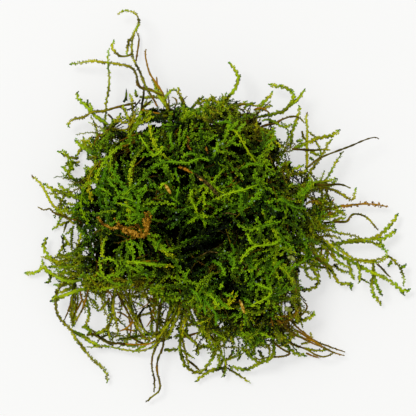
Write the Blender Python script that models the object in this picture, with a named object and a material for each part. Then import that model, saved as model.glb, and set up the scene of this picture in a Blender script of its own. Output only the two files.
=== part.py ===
"""A loose clump of creeping moss, cut off flat below, with a dead sprig and two slivers on top.

Metres, +Z up. The origin is in the middle of the flat cut base, +X is to the right of the plan and
+Y is to its top. The plan is the clump as seen from straight above, in steps of PLAN_STEP, with its
own x to the right and y down.
"""

import math

import bmesh
import bpy
from mathutils import Vector, noise
from mathutils.bvhtree import BVHTree
from mathutils.kdtree import KDTree

MM = 0.001

# The plan: how it turns into places
PLAN_STEP = 0.30 * MM
PLAN_AXIS = (208, 208)  # the point of the plan straight below the eye
PLAN_ORIGIN = (200, 222)  # the middle of the cut base
EYE_HEIGHT = 800 * MM

# The mat
MAT_HEIGHT = 29 * MM
MAT_SIDES = 42
MAT_RINGS = 10
BASE_TUCK = 0.94  # the cut base, as a share of the widest outline
BELLY_HEIGHT = 3.5 * MM  # where the mat is widest
DOME_FULLNESS = 0.72  # under 1 is fuller than a half ellipsoid
OUTWARD_RISE = 1.2  # how much more than sideways the lumps stand up
LUMP_SIZE = 10 * MM
LUMP_RELIEF = 3.2 * MM
FINE_LUMPS, FINE_LUMP_SHARE = 2.3, 0.5  # how much smaller the small lumps are, and their relief's share

# Shoots and stems
LEAFY, STEM, THREAD = 0.68 * MM, 0.34 * MM, 0.24 * MM  # radii
TIP_SHARE = 0.55  # a tip's radius, as a share of the shoot's
NARROWS_FROM = 0.65  # the share of its length from which a shoot narrows
TUBE_STEP = 2.8 * MM
CLEARANCE = 0.32 * MM  # left between pieces that touch
FINE_STEP = 0.5 * MM
HUMP_REACH = 4 * MM  # how far before and behind a crossing a shoot starts to rise
LEAST_HUMP, HUMP_SPARE = 0.02 * MM, 0.05 * MM
MOST_HUMPS = 60
FORK_FREE = 3 * MM  # the start of a side shoot, which may touch the shoot that carries it
FORK_CHOICES = 200  # the places along a shoot that a side shoot may start from
MERGE_DISTANCE = 1e-7
SHARP_ANGLE = math.radians(50)
SKY = 1.0  # a height above all of the clump
MOST_CROSSINGS = 20  # how often a line straight up may cross the mat's surface

MAT_OUTLINE = (
    (140, 100), (165, 92), (200, 95), (235, 97), (262, 105), (285, 120), (300, 140), (306, 165),
    (318, 185), (322, 210), (323, 230), (316, 250), (308, 270), (300, 290), (297, 315), (288, 336),
    (262, 347), (235, 346), (213, 339), (196, 328), (181, 311), (166, 298), (147, 293), (122, 295),
    (100, 294), (82, 284), (74, 260), (76, 240), (75, 215), (70, 195), (75, 170), (85, 150), (95, 130),
    (115, 113),
)

# Mounds of the mat: plan place, share of MAT_HEIGHT added there, radius
MOUNDS = (
    ((205, 165), 0.10, 24 * MM),
    ((262, 288), -0.06, 20 * MM),
    ((105, 225), -0.16, 22 * MM),
    ((150, 285), -0.22, 18 * MM),
    ((300, 200), -0.06, 16 * MM),
)

# The dark hollows in the middle of the mat: plan place, depth, radius
HOLLOWS = (
    ((178, 226), 7.0 * MM, 7.5 * MM),
    ((207, 236), 7.5 * MM, 8.0 * MM),
    ((232, 227), 4.5 * MM, 6.5 * MM),
)

# Shoots on top of the mat that its form is known by, on the plan, base first
TUFTS = (
    ((205, 154), (189, 156), (178, 161), (161, 164), (148, 168)),
    ((267, 186), (250, 190), (237, 190), (226, 194), (214, 197)),
    ((186, 225), (194, 219), (202, 214), (210, 217)),
    ((195, 210), (189, 199), (195, 189)),
    ((168, 265), (148, 264), (134, 262), (124, 262)),
    ((263, 245), (255, 247), (247, 253), (241, 262)),
    ((292, 241), (283, 235), (272, 245)),
    ((249, 307), (258, 302), (270, 294), (263, 287), (250, 282)),
    ((218, 267), (223, 275), (219, 288)),
    ((137, 210), (128, 206), (117, 203)),
    ((152, 152), (146, 145), (140, 134)),
    ((214, 141), (219, 157), (226, 166)),
    ((206, 290), (215, 299), (219, 308)),
    ((262, 330), (268, 335), (276, 341)),
    ((240, 130), (226, 122), (214, 124)),
    ((282, 170), (276, 156), (280, 144)),
)
TOP_LEVEL = 0.85 * MAT_HEIGHT  # the height at which the plan of what is on top is read
TUFT_RADIUS = 0.95 * MM
TUFT_ROOT, TUFT_TIP = 1.1, 0.55  # the radius at each end, in tuft radii
TUFT_SUNK = 0.6  # how deep a tuft's line lies at its root, in tuft radii
TUFT_RISE = 1.5 * MM

# Shoots that creep over the mat's flanks and shoulders
LOCK_COUNT = 35
LOCK_TURN = math.pi * (3 - math.sqrt(5))
LOCK_LOWEST, LOCK_HIGHEST = 0.06, 0.90  # the sine of their lift above the belly
LOCK_POINTS = 5
LOCK_STEP = 2.9 * MM
LOCK_RADIUS = 1.25 * MM
LOCK_ROOT, LOCK_TIP = 1.15, 0.55  # the radius at each end, in lock radii
LOCK_SUNK, LOCK_LIFT = -0.5 * MM, 2.4 * MM
LOCK_FALL = 0.35  # how far a lock heads downhill, beside sideways
LOCK_CURL = 0.28  # how far its heading turns at each step
LOCK_SWAY, LOCK_SWAY_TURN = 0.035, 2.2  # how far and how fast its heading sways out and in
LOCK_FLOOR = 1.3  # the lowest point of a lock's line, in lock radii
STEEPEST_BELOW = -0.5  # a surface that faces further down than this is taken to face up
ROOT_DEPTH = 2.5 * MM  # how deep below the mat's top a stray shoot's root is at least
LOWEST_ROOT = 1.5 * MM

# Every stray shoot: name, radius, (root, middle, tip) heights in mm, route on the plan from root to
# tip, and its side shoots as (radius, tip height in mm, route from the fork to the tip). A root that
# would be in the air is lowered into the mat.
STRAYS = (
    # North
    ("north_crook_stem", STEM, (15, 12, 5),
     ((154, 100), (150, 94), (146, 87), (140, 72), (135, 62), (132, 53), (132, 44), (133, 37),
      (135, 31), (139, 23), (136, 14), (129, 11), (123, 11), (118, 14)),
     ((STEM, 6, ((133, 37), (128, 40), (125, 47), (124, 55))),
      (LEAFY, 5, ((132, 54), (127, 56), (120, 56), (115, 52), (112, 47), (114, 40))))),
    ("north_runner", STEM, (13, 10, 4),
     ((166, 98), (155, 92), (141, 88), (138, 82), (136, 74), (132, 68), (124, 65), (110, 63),
      (101, 62), (94, 61), (85, 62), (79, 63), (70, 64)), ()),
    ("north_olive_upright", STEM, (10, 8, 6),
     ((104, 126), (106, 112), (106, 104), (108, 93), (109, 84), (109, 74), (108, 66), (108, 58),
      (109, 49)), ()),
    ("north_orange_thread", STEM, (12, 10, 9),
     ((168, 108), (162, 92), (156, 83), (150.6, 75), (148, 68), (146.6, 62), (145.3, 55),
      (146, 49)), ()),
    ("north_west_feather", LEAFY, (9, 6, 4),
     ((108, 125), (103, 121), (96, 117), (92, 112), (86, 106), (82, 102), (77, 97), (78, 92)), ()),
    ("north_west_olive", STEM, (12, 8, 4),
     ((136, 103), (126, 105), (114, 108), (104, 111), (92, 112), (86, 116), (81, 118), (74, 119),
      (68, 124), (69, 127)), ()),
    ("north_dark_shoot", LEAFY, (16, 13, 12),
     ((188, 112), (184, 104), (181, 98), (179, 93), (178, 88)), ()),
    ("north_bright_feather", LEAFY, (15, 11, 8),
     ((218, 104), (224, 100), (230, 95), (234, 90), (237, 84), (238, 77), (236, 71.6), (233, 67),
      (229, 63)), ()),
    ("north_east_arch", LEAFY, (14, 9, 5),
     ((258, 117), (264, 116), (270, 115), (276, 113), (282, 112), (286, 109), (290, 105), (292.5, 101),
      (293.6, 97), (292, 92), (285, 87.5), (277, 86), (269, 84.5)),
     ((LEAFY, 7, ((290, 105), (294, 103), (298, 99), (302, 93.5), (305, 89))),)),
    ("north_east_drop", LEAFY, (11, 9, 6),
     ((290, 148), (291.5, 141), (292, 131), (295, 125), (297, 119), (299, 112), (299, 106)), ()),
    ("north_east_sprout", LEAFY, (14, 12, 10),
     ((259, 110), (264, 102), (268, 98), (271, 95), (272, 91.5)), ()),
    ("north_east_dark_runner", STEM, (15, 12, 8),
     ((252, 131), (261, 127), (268, 124.6), (275, 123.5), (281, 120), (289, 117), (296, 116.6),
      (301, 119), (304, 122.6)), ()),
    # East
    ("east_yellow_upright", LEAFY, (10, 8, 6),
     ((305, 174), (307, 165), (307, 155), (307, 145), (307.3, 132), (307, 125), (306, 117),
      (307.6, 112.7)), ()),
    ("east_bright_feather", LEAFY, (15, 12, 9),
     ((294, 148), (302, 145), (309, 142), (317, 138.5), (324.5, 137), (331, 136), (336, 133),
      (339, 130)), ()),
    ("east_olive_pair", LEAFY, (8, 6, 5),
     ((300, 188), (306, 179), (312, 169), (318, 161), (322, 154.5), (326, 148), (328, 143),
      (332, 140)), ()),
    ("east_long_bare_stem", STEM, (12, 10, 7),
     ((306, 169), (314, 162), (322, 157), (335, 151.8), (344, 148.5), (353, 145), (362, 141),
      (369, 138.5), (375.6, 137.3), (379, 139)), ()),
    ("east_thin_dark_stem", THREAD, (18, 16, 13),
     ((292, 149), (303, 149.6), (314, 150.3), (322, 149.5), (330, 150)), ()),
    ("east_diagonal_stem", STEM, (9, 6, 5),
     ((319, 192), (325, 182), (329, 175), (332.5, 168.4), (336, 162), (340, 156), (343, 151.5)), ()),
    ("east_hooked_stem", STEM, (12, 9, 5),
     ((314, 187), (328, 188.5), (335, 190.5), (340, 193), (346, 197), (352.4, 200), (354.5, 194),
      (356, 188)), ()),
    ("east_dark_stub", STEM, (15, 13, 10),
     ((314, 184), (324, 185), (336, 184.3), (343, 185), (350.4, 188)), ()),
    ("east_dead_feather", LEAFY, (7, 5, 3),
     ((318, 211), (328, 208.6), (340, 206.6), (352, 205), (362, 204), (371, 204), (379, 205),
      (387, 206.6)), ()),
    ("east_bare_arch", STEM, (10, 9, 5),
     ((324, 223), (336, 222), (347, 221.4), (349.8, 217), (354, 214), (362, 215), (368, 218.5),
      (373, 224), (378, 230)), ()),
    ("east_main_feather", LEAFY, (7, 5, 3),
     ((312, 251), (322, 248), (334, 244.5), (345, 242), (356, 240), (366, 239.7), (373, 238.6),
      (379, 235.5), (385, 230.5), (391, 224), (395.6, 218.5), (397.6, 213.9)),
     ((LEAFY, 4, ((373, 238.6), (381, 239), (387, 236.5), (392, 233.5), (395.6, 230))),)),
    ("east_olive_runner", STEM, (12, 10, 8),
     ((316, 226), (330, 230), (338, 233), (348, 234.4), (359, 237)), ()),
    ("east_loop", STEM, (10, 7, 6),
     ((314, 233), (324, 240), (334, 247), (342, 252), (350, 257), (357, 260.6), (367.7, 262),
      (377, 262.4), (383.6, 259.6), (387, 256), (386.5, 251.5), (382, 247.4), (374, 243.4)),
     ((STEM, 3, ((387, 256), (392, 258.3), (396, 263), (399.5, 267), (402, 272), (404, 279.5),
        (403.5, 285.5))),
      (LEAFY, 2, ((373, 262.3), (373.5, 268), (373.7, 273), (372.3, 280), (372, 287), (373.5, 294),
        (378, 300), (381, 305))))),
    ("east_low_feather", LEAFY, (7, 4, 2.6),
     ((312, 233), (322, 241.5), (332, 249.5), (340, 255.5), (349, 260), (358, 265), (367, 270),
      (377, 274.5), (386, 278.5), (393, 283), (399, 288), (404, 291), (409.5, 289.5)), ()),
    ("east_hanging_shoots", STEM, (6, 5, 3),
     ((310, 234), (318, 241), (328, 251.5), (334, 258.5), (341, 264), (349, 267), (352, 273),
      (354, 279)), ()),
    ("east_curl", LEAFY, (6, 4, 2.4),
     ((308, 248), (318, 256), (331, 269), (334.5, 276), (339, 282.5), (345, 283.7),
      (352.4, 284.3)), ()),
    # South-east
    ("south_east_ring", LEAFY, (7, 5, 6),
     ((294, 282), (299, 287), (305, 290), (312, 288.6), (317, 285), (318.6, 280), (316, 273),
      (310, 266)), ()),
    ("south_east_dark_shoot", LEAFY, (9, 8, 8),
     ((292, 323), (299, 321), (307, 319), (312, 316.5), (314.2, 312)), ()),
    ("south_east_brown_loop", THREAD, (9, 8, 7),
     ((297, 317), (302.5, 314), (306, 310), (307, 305.5), (303, 301)), ()),
    ("south_east_bundle", STEM, (8, 5, 2),
     ((286, 316), (298, 328), (304.5, 333), (310, 337.7), (317, 342), (328, 346), (336, 349),
      (345, 352)), ()),
    ("south_east_low_stem", STEM, (5, 3.4, 2),
     ((286, 328), (294, 334.5), (305, 338.6), (313, 341), (322, 346.5), (330, 351), (337, 353.6),
      (344.3, 355.6)), ()),
    ("south_east_bow", STEM, (7, 5.5, 4),
     ((278, 334), (287, 341), (296, 345.6), (306, 349), (315, 354.5), (323.7, 356.8), (330, 354.8),
      (335, 352)), ()),
    ("south_east_feather", LEAFY, (4, 3, 2),
     ((277, 337), (286, 345), (292, 351), (299, 354.6), (306, 355.6)), ()),
    # South
    ("south_red_stem", STEM, (8, 6, 3),
     ((274, 343), (283, 349.5), (290, 353.5), (283, 356.3), (274, 357), (266, 357.6), (260, 360),
      (254, 356)), ()),
    ("south_feather_run", LEAFY, (5, 3.4, 2),
     ((272, 338), (274, 350), (270, 359), (262, 362.3), (255, 365.5), (247, 369.5), (239, 368.6),
      (229, 366)), ()),
    ("south_dark_drop", STEM, (9, 5, 3),
     ((214, 334), (218, 345), (221.5, 354), (225, 361), (226, 367.5), (225, 373), (222, 377)),
     ((STEM, 4, ((225, 361), (231, 358.3), (237, 356), (243, 353))),
      (LEAFY, 2, ((226, 367.5), (219, 368.8), (210, 371), (202, 376), (196, 381.5))),
      (STEM, 2, ((226, 367.5), (233, 371.6), (241, 376.5), (250, 382.5))))),
    ("south_loop", LEAFY, (8, 4, 5),
     ((186, 300), (181, 322), (180, 346), (182, 356), (185, 365), (193, 371.4), (201, 372), (208, 365),
      (213, 356), (217, 345), (220, 332)), ()),
    ("south_twin_stem_a", STEM, (8, 5, 2.5),
     ((164, 288), (158, 318), (156, 345), (152.5, 356), (152, 368), (154.5, 380), (154, 392)), ()),
    ("south_twin_stem_b", STEM, (11, 6, 2),
     ((175, 296), (166, 322), (163, 346), (158, 359), (157, 370), (160, 384), (159, 391), (153, 396),
      (146, 402)), ()),
    # South-west
    ("south_west_bow", STEM, (8, 4, 4),
     ((182, 302), (170, 322), (163, 338), (154, 346), (140, 351), (126, 350), (116, 348), (104, 346),
      (95, 347), (87, 347)), ()),
    ("south_west_orange_bow", STEM, (10, 7, 6),
     ((186, 292), (176, 312), (164, 330), (156, 341), (148, 344), (138, 344.6), (123, 343.6),
      (110, 342.6), (100, 337), (92, 330)), ()),
    ("south_west_arch", LEAFY, (7, 3.4, 2),
     ((86, 271), (74, 277), (63, 284), (57, 291), (56, 300), (56, 308), (59, 317), (65, 324),
      (71, 330), (76, 339), (84, 349), (91, 358), (98, 364), (104, 369), (107, 376), (107, 382)),
     ((LEAFY, 4, ((71, 330), (80, 334.5), (89, 340.5), (98, 345))),)),
    ("south_west_drop", LEAFY, (10, 8, 4),
     ((117, 274), (115, 289), (112, 303), (112, 316), (110, 324), (104, 330), (97, 333)), ()),
    ("south_west_bundle", STEM, (10, 6, 4),
     ((78, 270), (73, 293), (71.5, 305), (71, 315), (73, 325)), ()),
    ("south_west_long_stem", STEM, (13, 9, 6),
     ((92, 275), (86, 298), (81, 312), (74, 322)), ()),
    ("south_west_olive", STEM, (12, 8, 7),
     ((112, 270), (117, 292), (126, 309), (133, 322), (141, 334), (150, 341)),
     ((STEM, 6, ((133, 322), (126, 328.5), (120, 331))),)),
    # West
    ("west_dark_tip", LEAFY, (9, 6, 5),
     ((74, 224), (58, 210), (52, 204), (48, 197), (44, 189), (39, 182), (32, 176)), ()),
    ("west_feather_pair", LEAFY, (13, 11, 10),
     ((84, 200), (72, 196), (62, 192), (54, 190), (49, 187), (44, 184)), ()),
    ("west_brown_hook", STEM, (6, 4, 3),
     ((82, 222), (66, 217), (54, 213), (50, 208.6), (44, 210), (38, 207)), ()),
    ("west_curved_feather", LEAFY, (6, 4, 3),
     ((84, 264), (70, 265), (60, 263), (52, 259.5), (47, 254), (44, 248), (44.6, 242.5),
      (47, 238)), ()),
    ("west_low_feather", LEAFY, (5, 3, 2),
     ((82, 280), (70, 281.5), (61, 279), (54, 275), (48, 270.5), (44, 266.5), (40, 270), (34, 273),
      (25, 273)), ()),
    ("west_south_shoot", LEAFY, (7, 5, 3),
     ((92, 288), (80, 290), (68, 294), (60, 298), (51, 301)), ()),
)

# What lies on top: routes on the plan, radius of the stem
SPRIG = (
    ((98, 217), (106, 225), (119, 229), (127, 233), (139, 238), (148, 234), (148, 224), (147, 213)),
    ((112, 217), (117, 223), (122, 230)),
)
SPRIG_RADIUS = 0.75 * MM
SPRIG_RING = 1.25 * MM  # between two rings of scale leaves
SPRIG_SCALES, SPRIG_NECKS = 1.25, 0.8  # the radius at and between the scale leaves, in sprig radii
SPRIG_TAPER = 0.35
LYING_SPAN = 1.8 * MM  # what lies on top bridges hollows narrower than twice this
SLIVERS = (
    ("orange_sliver", 0.45 * MM, ((178, 168), (185, 169.5), (192, 172), (200, 178), (209, 185),
    (217, 194))),
    ("tan_sliver", 0.55 * MM, ((239.5, 300), (242.5, 307), (245, 314))),
)

# Finishes: sRGB colour and roughness
FINISHES = {
    "moss_leaf": ((0.29, 0.48, 0.08), 0.55),
    "moss_mat": ((0.16, 0.27, 0.05), 0.7),
    "moss_stem": ((0.33, 0.27, 0.08), 0.55),
    "dead_cedar": ((0.45, 0.27, 0.10), 0.8),
    "dry_straw": ((0.74, 0.46, 0.17), 0.7),
}


def plan_point(x, y, height):
    """The place at this height that lies on plan point (x, y) as seen from the eye."""
    seen = 1 - height / EYE_HEIGHT
    across = (PLAN_AXIS[0] - PLAN_ORIGIN[0]) + (x - PLAN_AXIS[0]) * seen
    up = (PLAN_ORIGIN[1] - PLAN_AXIS[1]) + (PLAN_AXIS[1] - y) * seen
    return Vector((across * PLAN_STEP, up * PLAN_STEP, height))


def catmull_rom(before, start, end, after, t):
    """A point on the smooth curve through start and end, t from 0 to 1."""
    return 0.5 * (
        2 * start
        + (end - before) * t
        + (2 * before - 5 * start + 4 * end - after) * t ** 2
        + (3 * start - before - 3 * end + after) * t ** 3
    )


def smooth_line(points, step, closed=False):
    """Points about step apart on a smooth curve through the given ones."""
    count = len(points)
    spans = count if closed else count - 1
    line = []
    for i in range(spans):
        start, end = points[i], points[(i + 1) % count]
        before = points[i - 1] if closed or i else 2 * start - end
        after = points[(i + 2) % count] if closed or i + 2 < count else 2 * end - start
        parts = max(1, round((end - start).length / step))
        line += [catmull_rom(before, start, end, after, j / parts) for j in range(parts)]
    return line if closed else line + [points[-1].copy()]


def evenly(line, count, closed=False):
    """count points evenly spaced along a line of close points."""
    loop = line + [line[0]] if closed else line
    reach = [0.0]
    for a, b in zip(loop, loop[1:]):
        reach.append(reach[-1] + (b - a).length)
    spaces = count if closed else count - 1
    found, at = [], 0
    for i in range(count):
        want = reach[-1] * i / spaces
        while at < len(loop) - 2 and reach[at + 1] < want:
            at += 1
        part = (want - reach[at]) / max(reach[at + 1] - reach[at], 1e-9)
        found.append(loop[at].lerp(loop[at + 1], min(part, 1.0)))
    return found


def line_length(line):
    """The length of a line of points."""
    return sum((b - a).length for a, b in zip(line, line[1:]))


def material(name, colour, roughness):
    """A Principled material with this sRGB colour."""
    made = bpy.data.materials.new(name)
    made.use_nodes = True
    shader = made.node_tree.nodes["Principled BSDF"]
    linear = [(c / 12.92 if c <= 0.04045 else ((c + 0.055) / 1.055) ** 2.4) for c in colour]
    shader.inputs["Base Color"].default_value = (*linear, 1)
    shader.inputs["Roughness"].default_value = roughness
    shader.inputs["Metallic"].default_value = 0.0
    made.diffuse_color = (*linear, 1)
    return made


def finish_mesh(shape, name):
    """A mesh of this bmesh, with its doubles merged and its faces turned out."""
    bmesh.ops.remove_doubles(shape, verts=shape.verts, dist=MERGE_DISTANCE)
    bmesh.ops.recalc_face_normals(shape, faces=shape.faces)
    mesh = bpy.data.meshes.new(name)
    shape.to_mesh(mesh)
    shape.free()
    return mesh


def place(name, mesh, look):
    """The mesh as an object of the scene, in this material."""
    made = bpy.data.objects.new(name, mesh)
    bpy.context.scene.collection.objects.link(made)
    mesh.materials.clear()
    mesh.materials.append(look)
    mesh.shade_smooth()
    mesh.set_sharp_from_angle(angle=SHARP_ANGLE)
    return made


def tube(name, line, radii, bevel=1):
    """A closed tube along the line with a radius at each point, of four sides and two for each bevel."""
    curve = bpy.data.curves.new(name, "CURVE")
    curve.dimensions = "3D"
    curve.bevel_depth = 1.0
    curve.bevel_resolution = bevel
    curve.use_fill_caps = True
    spline = curve.splines.new("POLY")
    spline.points.add(len(line) - 1)
    for point, place_now, radius in zip(spline.points, line, radii):
        point.co = (*place_now, 1)
        point.radius = radius
    guide = bpy.data.objects.new(name, curve)
    mesh = bpy.data.meshes.new_from_object(guide)
    bpy.data.objects.remove(guide)
    bpy.data.curves.remove(curve)
    shape = bmesh.new()
    shape.from_mesh(mesh)
    bpy.data.meshes.remove(mesh)
    return finish_mesh(shape, name)


def axis_of(line):
    """The points of a shoot's tube along this line."""
    return evenly(line, max(3, round(line_length(line) / TUBE_STEP) + 1))


def shoot_tube(name, line, radius):
    """A shoot: an even tube that narrows towards its tip."""
    points = axis_of(line)
    count = len(points)
    radii = []
    for i in range(count):
        along = i / (count - 1)
        narrowing = max(0.0, (along - NARROWS_FROM) / (1 - NARROWS_FROM))
        radii.append(radius * (1 - (1 - TIP_SHARE) * narrowing ** 2))
    return tube(name, points, radii)


def united(mesh, others, name):
    """The mesh joined with the others by Boolean unions."""
    whole = bpy.data.objects.new(name, mesh)
    bpy.context.scene.collection.objects.link(whole)
    cutters = []
    for other in others:
        cutter = bpy.data.objects.new(name + "_joined", other)
        cutter.hide_render = True
        cutter.display_type = "WIRE"
        bpy.context.scene.collection.objects.link(cutter)
        cutters.append(cutter)
        union = whole.modifiers.new("union", "BOOLEAN")
        union.operation = "UNION"
        union.object = cutter
    graph = bpy.context.evaluated_depsgraph_get()
    made = bpy.data.meshes.new_from_object(whole.evaluated_get(graph))
    for used in [whole, *cutters]:
        bpy.data.objects.remove(used)
    return made


def mound_share(x, y):
    """The mat's height at this place, as a share of MAT_HEIGHT."""
    share = 1.0
    for plan, added, radius in MOUNDS:
        middle = plan_point(*plan, 0)
        away = math.hypot(x - middle.x, y - middle.y)
        share += added * math.exp(-((away / radius) ** 2))
    return share


def hollow_depth(x, y):
    """How deep the mat's hollows are at this place."""
    depth = 0.0
    for plan, deepest, radius in HOLLOWS:
        middle = plan_point(*plan, MAT_HEIGHT)
        away = math.hypot(x - middle.x, y - middle.y)
        depth += deepest * math.exp(-((away / radius) ** 2))
    return depth


def mat_point(rim, middle, ring):
    """The mat's surface at this ring, from 0 at the cut base to MAT_RINGS at the top."""
    if ring == 0:
        at = middle.lerp(rim, BASE_TUCK)
        return Vector((at.x, at.y, 0))
    angle = (ring - 1) / (MAT_RINGS - 1) * math.pi / 2
    at = middle.lerp(rim, math.cos(angle) ** DOME_FULLNESS)
    rise = (MAT_HEIGHT - BELLY_HEIGHT) * math.sin(angle) * mound_share(at.x, at.y)
    surface = Vector((at.x, at.y, BELLY_HEIGHT + rise))
    outward = Vector((at.x - middle.x, at.y - middle.y, OUTWARD_RISE * rise)).normalized()
    lump = noise.noise(surface / LUMP_SIZE)
    lump += FINE_LUMP_SHARE * noise.noise(surface * FINE_LUMPS / LUMP_SIZE)
    surface += outward * LUMP_RELIEF * lump
    surface.z -= hollow_depth(surface.x, surface.y)
    return surface


def plain_mat():
    """The mat without its shoots: rings of points from the cut base up to the top."""
    outline = [plan_point(x, y, 0) for x, y in MAT_OUTLINE]
    rim = evenly(smooth_line(outline, FINE_STEP, closed=True), MAT_SIDES, closed=True)
    middle = plan_point(*PLAN_ORIGIN, 0)
    shape = bmesh.new()
    rings = []
    for ring in range(MAT_RINGS):
        rings.append([shape.verts.new(mat_point(at, middle, ring)) for at in rim])
    top = shape.verts.new(mat_point(rim[0], middle, MAT_RINGS))
    for lower, upper in zip(rings, rings[1:]):
        for i in range(MAT_SIDES):
            j = (i + 1) % MAT_SIDES
            shape.faces.new((lower[i], lower[j], upper[j], upper[i]))
    for i in range(MAT_SIDES):
        shape.faces.new((rings[-1][i], rings[-1][(i + 1) % MAT_SIDES], top))
    shape.faces.new(rings[0])
    bmesh.ops.triangulate(shape, faces=[face for face in shape.faces if len(face.verts) == 4])
    return finish_mesh(shape, "plain_mat")


def tree_of(mesh):
    """A search tree of the mesh's faces."""
    shape = bmesh.new()
    shape.from_mesh(mesh)
    tree = BVHTree.FromBMesh(shape)
    shape.free()
    return tree


def top_of(tree, at):
    """The height of the surface straight below the sky at this place."""
    hit = tree.ray_cast(Vector((at.x, at.y, SKY)), Vector((0, 0, -1)))[0]
    return hit.z if hit else 0.0


def tuft_meshes(tree):
    """The shoots on top of the mat, each sunk in at its base and lifted towards its tip."""
    made = []
    for i, route in enumerate(TUFTS):
        flat = smooth_line([plan_point(x, y, TOP_LEVEL) for x, y in route], FINE_STEP)
        flat = evenly(flat, max(4, round(line_length(flat) / TUBE_STEP)))
        radii = []
        for j, at in enumerate(flat):
            along = j / (len(flat) - 1)
            at.z = top_of(tree, at) - TUFT_RADIUS * TUFT_SUNK + TUFT_RISE * along ** 1.5
            radii.append(TUFT_RADIUS * (TUFT_ROOT + (TUFT_TIP - TUFT_ROOT) * along))
        made.append(tube(f"tuft_{i}", flat, radii, bevel=0))
    return made


def lock_meshes(tree):
    """Shoots that creep over the mat, set out by the golden angle, each with a lifted tip."""
    made = []
    for i in range(LOCK_COUNT):
        turn = i * LOCK_TURN
        lift = math.asin(LOCK_LOWEST + (LOCK_HIGHEST - LOCK_LOWEST) * (i + 0.5) / LOCK_COUNT)
        look = Vector((math.cos(turn) * math.cos(lift), math.sin(turn) * math.cos(lift), math.sin(lift)))
        at, outward, _, _ = tree.ray_cast(Vector((0, 0, BELLY_HEIGHT)), look)
        if outward.dot(look) < 0:
            outward = -outward
        sideways = outward.cross(Vector((0, 0, 1))).normalized() * (1 if i % 2 else -1)
        heading = (sideways + LOCK_FALL * Vector((0, 0, -1))).normalized()
        line, radii = [], []
        for j in range(LOCK_POINTS):
            along = j / (LOCK_POINTS - 1)
            line.append(at + outward * (LOCK_SUNK + (LOCK_LIFT - LOCK_SUNK) * along ** 2))
            radii.append(LOCK_RADIUS * (LOCK_ROOT + (LOCK_TIP - LOCK_ROOT) * along))
            curl = sideways.cross(outward) * LOCK_CURL * math.sin(i)
            sway = outward * LOCK_SWAY * math.sin(LOCK_SWAY_TURN * j + i)
            heading = (heading + curl + sway).normalized()
            at, outward, _, _ = tree.find_nearest(at + heading * LOCK_STEP)
            outward = outward if outward.z > STEEPEST_BELOW else Vector((0, 0, 1))
        short = LOCK_RADIUS * LOCK_FLOOR - min(point.z for point in line)
        line = [point + Vector((0, 0, max(0.0, short))) for point in line]
        made.append(tube(f"lock_{i}", line, radii, bevel=0))
    return made


def route_height(root, middle, tip, along):
    """The height at this share of a route, on the parabola through its root, middle and tip."""
    bend = 2 * (root + tip - 2 * middle)
    return root + (tip - root - bend) * along + bend * along ** 2


def route_line(route, height_at):
    """Close points along a route on the plan, at the heights that height_at gives for each share."""
    flat = smooth_line([Vector((x, y, 0)) for x, y in route], FINE_STEP / PLAN_STEP)
    return [
        plan_point(at.x, at.y, height_at(i / (len(flat) - 1))) for i, at in enumerate(flat)
    ]


def raised_over(line, radius, laid, fixed_start=False):
    """The line, humped up smoothly wherever it would pass too near a shoot that is already laid.

    laid holds a place and a radius for each point of the shoots so far. With fixed_start, the line's
    first points stay, because they lie in the shoot that carries it.
    """
    plan = KDTree(len(laid))
    for i, (there, _) in enumerate(laid):
        plan.insert((there.x, there.y, 0), i)
    plan.balance()
    skipped = round(FORK_FREE / FINE_STEP) if fixed_start else 0
    for _ in range(MOST_HUMPS):
        worst, hump = LEAST_HUMP, None
        for at in line[skipped:]:
            for _, i, away in plan.find_range((at.x, at.y, 0), radius + LEAFY + 2 * CLEARANCE):
                there, other_radius = laid[i]
                apart = radius + other_radius + 2 * CLEARANCE
                if away >= apart or abs(at.z - there.z) >= apart:
                    continue
                short = math.sqrt(apart ** 2 - away ** 2) - (at.z - there.z)
                if short > worst:
                    worst, hump = short, at.copy()
        if hump is None:
            break
        for at in line:
            away = math.hypot(at.x - hump.x, at.y - hump.y) / HUMP_REACH
            if away < 1:
                at.z += (worst + HUMP_SPARE) * (1 - away ** 2) ** 2
    return line


def clear_run(line, radius, tree):
    """The longest stretch of the line that stays clear of the mat."""
    best, run = [], []
    for at in line:
        away = tree.find_nearest(at)[3]
        if away > radius + CLEARANCE and not enclosed(at, tree):
            run.append(at)
        else:
            best, run = max(best, run, key=len), []
    return max(best, run, key=len)


def enclosed(at, tree):
    """Whether the place is inside the closed surface, by counting the faces above it."""
    crossings, start = 0, at.copy()
    for _ in range(MOST_CROSSINGS):
        hit = tree.ray_cast(start, Vector((0, 0, 1)))[0]
        if hit is None:
            break
        crossings += 1
        start = hit + Vector((0, 0, LEAST_HUMP / 10))
    return crossings % 2 == 1


def build_strays(mat_tree, looks):
    """Every stray shoot, laid in order over the ones before it and cut where it meets the mat."""
    laid = []
    for name, radius, (root, middle, tip), route, forks in STRAYS:
        mat_top = top_of(mat_tree, plan_point(*route[0], root * MM))
        root_height = max(LOWEST_ROOT, min(root * MM, mat_top - ROOT_DEPTH))
        ends = (root_height, middle * MM, tip * MM)
        line = route_line(route, lambda along, ends=ends: route_height(*ends, along))
        line = raised_over(line, radius, laid)
        main = clear_run(line, radius, mat_tree)
        own = [(at, radius) for at in main]
        extra = []
        for fork_radius, tip_height, fork_route in forks:
            fork = plan_point(*fork_route[0], 0)
            axis = evenly(axis_of(main), FORK_CHOICES)
            start = min(axis, key=lambda at, f=fork: math.hypot(at.x - f.x, at.y - f.y))
            side = route_line(
                fork_route, lambda along, z=start.z, t=tip_height: z + (t * MM - z) * along
            )
            side[0] = start.copy()
            side = raised_over(side, fork_radius, laid, fixed_start=True)
            side = clear_run(side, fork_radius, mat_tree)
            extra.append(shoot_tube(name + "_fork", side, fork_radius))
            own += [(at, fork_radius) for at in side]
        mesh = shoot_tube(name, main, radius)
        if extra:
            mesh = united(mesh, extra, name)
        laid += own
        place(name, mesh, looks[radius])


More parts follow.
